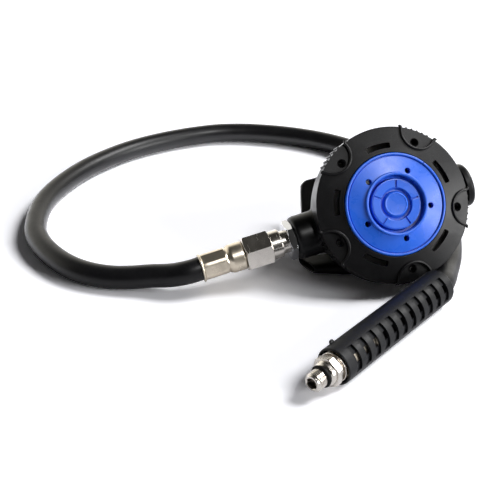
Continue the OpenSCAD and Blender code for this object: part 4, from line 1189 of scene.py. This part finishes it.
class SCUBA_OT_purge(bpy.types.Operator):
    """Builds the blue purge cover, the purge button and the button's spring"""

    bl_idname = "scuba.purge"
    bl_label = "Purge cover and button"

    def execute(self, context):
        s = sizes("cover")
        cover, button, dome = mm(s.cover) / 2, mm(s.button) / 2, mm(s.dome) / 2
        rise, well, web, stem, vent_x = 2.1, 15.2, -6.7, 4.9, 18.6
        lip, lip_top, rim, sleeve, ledge = well + 1.5, rise + 2.05, cover - 1.3, button + 0.3, -0.5
        shell = spun("shell", filleted([
            (stem, web - 1), (well + 1.2, web - 1), (well + 1.2, rise - 3.5), (rim, rise - 3.5),
            (rim, -4.3), (cover + 1.5, -4.3, 0.2), (cover + 1.5, -3.3, 0.2), (cover, -3.3, 0.2),
            (cover, rise, 0.6), (rim, rise, 0.4), (rim, rise - 1.45, 0.15),
            (rim - 0.5, rise - 1.45, 0.15), (rim - 0.5, rise - 0.65, 0.2),
            (lip, lip_top - 1.05, 0.25), (lip, lip_top, 0.5), (well, lip_top, 0.6),
            (well, ledge, 0.5), (sleeve, ledge, 0.2), (sleeve, web, 0.3), (stem, web, 0.3)], 5),
            180)
        vent = moved(rod("vent", mm(s.vent) / 2, -20, 10, 40), slid(vent_x))
        carved(shell, round_the_face(vent, s.petals, SCALLOPS_AT + degrees(s.turn)))
        notch = block("notch", (cover - 2.0, -0.35, rise - 0.5), (cover - 0.2, 0.35, rise + 1))
        edged(carved(shell, moved(notch, turned(38))), 0.15, 34)
        settled(shell, "purge_shell", STAGE, "blue_plastic", "purge_cover", sharp=36)

        top, groove = rise + 0.5, dome + 1.75
        floor_z = top - 2.3
        push = spun("push", filleted([
            (0, -8.5), (5.5, -8.5, 0.2), (5.5, -8.0, 0.2), (4.6, -8.0), (4.6, floor_z - 0.8, 0.3),
            (groove, floor_z - 0.8, 0.3), (groove + 0.8, top - 1.5), (button - 1.2, top - 1.5),
            (button - 1.2, top - 5.2, 0.2), (button, top - 5.2, 0.2), (button, top - 0.2, 0.45),
            (button - 0.65, top - 0.2, 0.1), (button - 0.65, top, 0.1), (groove, top, 0.35),
            (groove, floor_z, 0.4), (dome + 0.15, floor_z, 0.4), (dome - 0.15, top - 1.0, 0.4),
            (dome - 0.95, top - 0.15, 0.4), (dome - 1.5, top - 0.4, 0.8), (0, top - 0.62)], 6),
            150)
        ray = prism("ray", [(-0.35, top - 0.8), (0.35, top - 0.8), (0.75, top + 1.0),
                            (-0.75, top + 1.0)], groove - 0.2, button - 0.7)
        moved(ray, Matrix(((0, 0, 1, 0), (1, 0, 0, 0), (0, 1, 0, 0), (0, 0, 0, 1))))
        edged(carved(push, round_the_face(ray, s.petals, 1.3)), 0.1, 34)
        settled(push, "purge_push", STAGE, "blue_plastic", "purge_button", body="button", sharp=36)

        spring = coil("button_coil", "button_spring", STAGE, -6.3, 2.0, 11.2, 8.6, 2.7, 0.3, 120)
        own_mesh(spring)
        return {"FINISHED"}


# ---- case, cap, exhaust and mouthpiece -------------------------------------


def bowl(inset):
    """Outline of the case's round back, or of its inside."""
    return [(21.5 + (19 - inset) * cos(a), -17.5 + (24 - inset) * sin(a))
            for a in fan(-90, 0, 15)]


class SCUBA_OT_case(bpy.types.Operator):
    """Builds the glossy case and the slip ring under the cover ring"""

    bl_idname = "scuba.case"
    bl_label = "Case"

    def execute(self, context):
        body = spun("body", [(0, -41.5), *bowl(0), (40.5, -8.3), (0, -8.3)], 128)
        under = moved(block("under", (-60, -60, 0), (60, 60, 60)), FROM_PORT)
        carved(body, carved(under, block("low", (-70, -90, -120), (70, 90, -17.5)), "INTERSECT"))
        inlet = spun("inlet", filleted([
            (0, -52.8), (12, -52.8, 1.6), (12, -40), (12.3, -35), (14.2, -28), (14.2, -20),
            (0, -20)], 6))
        outlet = moved(rod("outlet", 11.4, 20, 41.4), FROM_VALVE)
        collar = moved(rod("collar", 12.8, -3, 1.9), FROM_PORT)
        # the neck and the way through it: size of the oval, then its lowest and highest z
        neck, mouth = (moved(prism("neck", oval(*size), *span), slid(y=10))
                       for size, span in (((36, 23), (-60, -37)), ((32, 19), (-62, -36))))
        shell = joined(body, moved(inlet, FROM_VALVE), outlet, collar, neck)
        rounded_by_cells(shell, 0.75, 14)
        carved(shell, spun("pocket", [
            (0, -39.2), *bowl(2.3), (POCKET_R, -16.9), (SHELF_R, -16.9), (SHELF_R, -12.3),
            (POCKET_R, -12.3), (POCKET_R, -4), (0, -4)], 128))
        bore = spun("bore", [(0, -53), (6.25, -53), (6.25, -33.5), (8.4, -33.5), (8.4, 27.4),
                             (9.65, 27.4), (9.65, 44), (0, 44)])
        recess = moved(rod("recess", 11.2, -6, 3, 72), FROM_PORT @ slid(z=4.0))
        for cutter in (moved(bore, FROM_VALVE), mouth, recess):
            carved(shell, cutter)
        settled(shell, "case_shell", STAGE, "case_black", "case", sharp=50, flats=False)
        low, high, rim = -10.95, -10.25, POCKET_R - 0.3
        washer = spun("washer", filleted([
            (SHELF_R, low, 0.15), (rim, low, 0.15), (rim, high, 0.15), (SHELF_R, high, 0.15)]), 120)
        settled(washer, "slip_washer", STAGE, "white_plastic", "slip_ring")
        return {"FINISHED"}


class SCUBA_OT_side_cap(bpy.types.Operator):
    """Builds the side cap and its O-ring"""

    bl_idname = "scuba.side_cap"
    bl_label = "Side cap"

    def execute(self, context):
        r, height, spigot, shaft, cap_at = mm(sizes("metal").cap) / 2, 8.3, 9.6, 6.1, 41.4
        step = height * 0.45
        cap = spun("cap", filleted([
            (shaft, -6.5), (spigot, -6.5, 0.3), (spigot, -2.2), (spigot - 1.2, -2.2),
            (spigot - 1.2, -0.6), (spigot, -0.6), (spigot, 0), (r - 1, 0, 0.3),
            (r - 1, step - 0.7, 0.3), (r - 2.2, step - 0.7, 0.2), (r - 2.2, step, 0.2),
            (r, step, 0.5), (r, height, 2.4), (r * 0.62, height, 0.5),
            (r * 0.58, height - 0.35, 0.3), (0, height - 0.35), (0, -3), (shaft, -3)], 6), 120)
        settled(moved(cap, slid(z=cap_at)), "valve_side_cap", VALVE, "case_black", "side_cap",
                sharp=32)
        o_ring("cap_seal", "side_cap_o_ring", VALVE, spigot - 0.57, 40.0, 0.6, 12, 96)
        return {"FINISHED"}


class SCUBA_OT_exhaust(bpy.types.Operator):
    """Builds the rubber exhaust tee and the exhaust valve's flap"""

    bl_idname = "scuba.exhaust"
    bl_label = "Exhaust tee and valve"

    def execute(self, context):
        # x, y, z, half width and half height, from the left mouth to the middle
        stations = [(-50, -5.0, -1.0, 7.8, 3.1), (-44, -4.4, 0.2, 8.0, 3.3),
                    (-36, -3.0, 1.6, 8.3, 3.8), (-26, -1.2, 3.4, 8.6, 4.2),
                    (-13, 0.0, 4.7, 9.0, 4.5), (0, 0.0, 5.0, 9.2, 4.5)]
        stations += [(-0.88 * x, *rest) for x, *rest in reversed(stations[:-1])]
        tee = flat_tube("tee", smooth_path(stations, 4), 1.2)
        # the mouths are cut at a slant
        for point in tee.data.vertices:
            share = max(0, abs(point.co.x) - 30) / 20
            point.co.x -= copysign(share, point.co.x) * 0.3 * (point.co.y + 12.8)
        joined(tee, spun("cup", filleted([
            (0, 1.2), (15.2, 1.2, 1.2), (15.2, 5.5, 2.6), (11, 9.5, 3), (0, 9.5)], 6)))
        rounded_by_cells(tee, mm(sizes("rubber").voxel), 10)
        carved(tee, spun("well", filleted([
            (0, 0), (13.2, 0), (13.2, 4.5, 2), (10, 8.2, 2), (0, 8.2)]), 72))
        settled(tee, "tee_moulding", PORT, "black_rubber", "exhaust_tee", sharp=60, flats=False)
        wall, r = -2.3, 10.6
        flap = spun("flap", filleted([
            (0, wall - 2.2), (1, wall - 2.2, 0.3), (1.9, wall - 1, 0.3), (1.9, wall - 0.2, 0.2),
            (1.15, wall - 0.2), (1.15, 0.1), (r, 0.1, 0.25), (r, 0.7, 0.25), (3, 1.6, 1),
            (0, 1.6)]))
        settled(flap, "exhaust_flap", PORT, "clear_silicone", "exhaust_valve")
        return {"FINISHED"}


class SCUBA_OT_mouthpiece(bpy.types.Operator):
    """Builds the silicone mouthpiece and the tie that holds it"""

    bl_idname = "scuba.mouthpiece"
    bl_label = "Mouthpiece and tie"

    def execute(self, context):
        s = sizes("rubber")
        bite = rounded_by_cells(from_solid("mouthpiece"), mm(s.voxel), s.rounds)
        moved(bite, FROM_WORLD)
        # the wings' round ends become squarer and taller, and lean in towards the top
        middle, neck, wing, tip, floor = 10, 20, 22.8, 30.5, 0.1 * MM
        for point in bite.data.vertices:
            x, y = abs(point.co.x), point.co.y - middle
            if x > wing:
                old = 3.3 + sqrt(max(0, 13.2 ** 2 - (x - wing) ** 2))
                new = 11.0 + sqrt(max(0, 5.5 ** 2 - max(0, x - tip) ** 2))
                share = held((abs(y) - 3) / 3)
                point.co.y = middle + y * (1 + share * (min(1.9, new / old) - 1))
            if x > neck:
                lean = 0.26 * min(1, (x - neck) / 6) * (point.co.y - middle)
                point.co.x *= (neck + (x - neck) * 0.85 - lean) / x
        settled(bite, "mouth_moulding", STAGE, "black_silicone", "mouthpiece", sharp=60,
                flats=False)
        for point in bite.data.vertices:
            point.co.z = max(point.co.z, floor)
        settled(from_solid("mouthpiece_tie", 0.25), "mouth_tie", WORLD, "ring_black",
                "mouthpiece_tie")
        return {"FINISHED"}


# ---- diaphragm and demand valve --------------------------------------------


class SCUBA_OT_diaphragm(bpy.types.Operator):
    """Builds the silicone diaphragm, in sectors, and the plate"""

    bl_idname = "scuba.diaphragm"
    bl_label = "Diaphragm and plate"

    def execute(self, context):
        top, low, hub, fold, rim, count = -9.9, -10.7, 5.1, 26, POCKET_R - 0.3, 8
        middle = (top + low) / 2
        outline = [(hub, top), *arc(fold, middle, 2.6, 180, 360, 12), (SHELF_R, top),
                   (SHELF_R, -11.05), (rim, -11.05), (rim, -12.2), (SHELF_R - 1, -12.2),
                   (SHELF_R - 1, low), *arc(fold, middle, 3.4, 360, 180, 12), (hub, low)]
        wide = 360 / count
        for i in range(count):
            part = sector("sector", outline, fan(wide * i, wide * (i + 1), 12))
            settled(part, f"diaphragm_{i + 1}", STAGE, "clear_silicone", "diaphragm", body=None)
            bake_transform(part)
        plate = spun("plate", filleted([
            (0, -11.1), (4.8, -11.1, 0.3), (4.8, -9.6, 0.2), (14, -9.6, 0.25), (14, -8.8, 0.25),
            (0, -8.8)]))
        settled(plate, "lever_plate", STAGE, "white_plastic", "diaphragm_plate", body="plate")
        return {"FINISHED"}


class SCUBA_OT_valve(bpy.types.Operator):
    """Builds the valve barrel, the orifice, the poppet, its spring and the lever"""

    bl_idname = "scuba.valve"
    bl_label = "Demand valve"

    def execute(self, context):
        for node, name, slot, body, width in (
                ("valve_barrel", "barrel", "nickel_plate", "base", 0.15),
                ("orifice", "inlet_orifice", "brass", "base", 0.12),
                ("spring_plug", "plug", "brass", "base", 0.15),
                ("poppet", "poppet_body", "white_plastic", "poppet", 0.12),
                ("poppet_seat", "seat_disc", "black_rubber", "poppet", 0.15),
                ("demand_lever", "lever_fork", "spring_steel", "lever", 0.12)):
            settled(from_solid(node, width), name, WORLD, slot, node, body=body)
        o_ring("orifice_seal", "orifice_o_ring", VALVE, 3.95, -50, 0.48)
        spring = coil("poppet_coil", "poppet_spring", VALVE, 21.65, 5.0, 2.9, 2.9, 9.4, 0.35, 160)
        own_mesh(spring)
        return {"FINISHED"}


# ---- panel and registration ------------------------------------------------

OPERATORS = (SCUBA_OT_studio, SCUBA_OT_fitting, SCUBA_OT_inlet, SCUBA_OT_protector,
             SCUBA_OT_hose, SCUBA_OT_cover_ring, SCUBA_OT_purge, SCUBA_OT_case,
             SCUBA_OT_side_cap, SCUBA_OT_exhaust, SCUBA_OT_mouthpiece, SCUBA_OT_diaphragm,
             SCUBA_OT_valve)


class SCUBA_PT_panel(bpy.types.Panel):
    """Lists the pieces and their sizes"""

    bl_idname = "SCUBA_PT_panel"
    bl_label = "Scuba Set"
    bl_space_type = "VIEW_3D"
    bl_region_type = "UI"
    bl_category = "Scuba Set"

    def draw(self, context):
        for operator in OPERATORS:
            self.layout.operator(operator.bl_idname)
        for name, group in GROUPS.items():
            box = self.layout.box()
            box.label(text=group.__doc__)
            for label in group.__annotations__:
                box.prop(sizes(name), label)


def register():
    for name, group in GROUPS.items():
        bpy.utils.register_class(group)
        setattr(bpy.types.Scene, "scuba_" + name, PointerProperty(type=group))
    for operator in OPERATORS:
        bpy.utils.register_class(operator)
    bpy.utils.register_class(SCUBA_PT_panel)


def unregister():
    bpy.utils.unregister_class(SCUBA_PT_panel)
    for operator in reversed(OPERATORS):
        bpy.utils.unregister_class(operator)
    for name, group in GROUPS.items():
        delattr(bpy.types.Scene, "scuba_" + name)
        bpy.utils.unregister_class(group)


def main():
    """Builds everything in order."""
    register()
    for operator in OPERATORS:
        getattr(bpy.ops.scuba, operator.bl_idname.split(".")[1])()


if __name__ == "__main__":
    main()
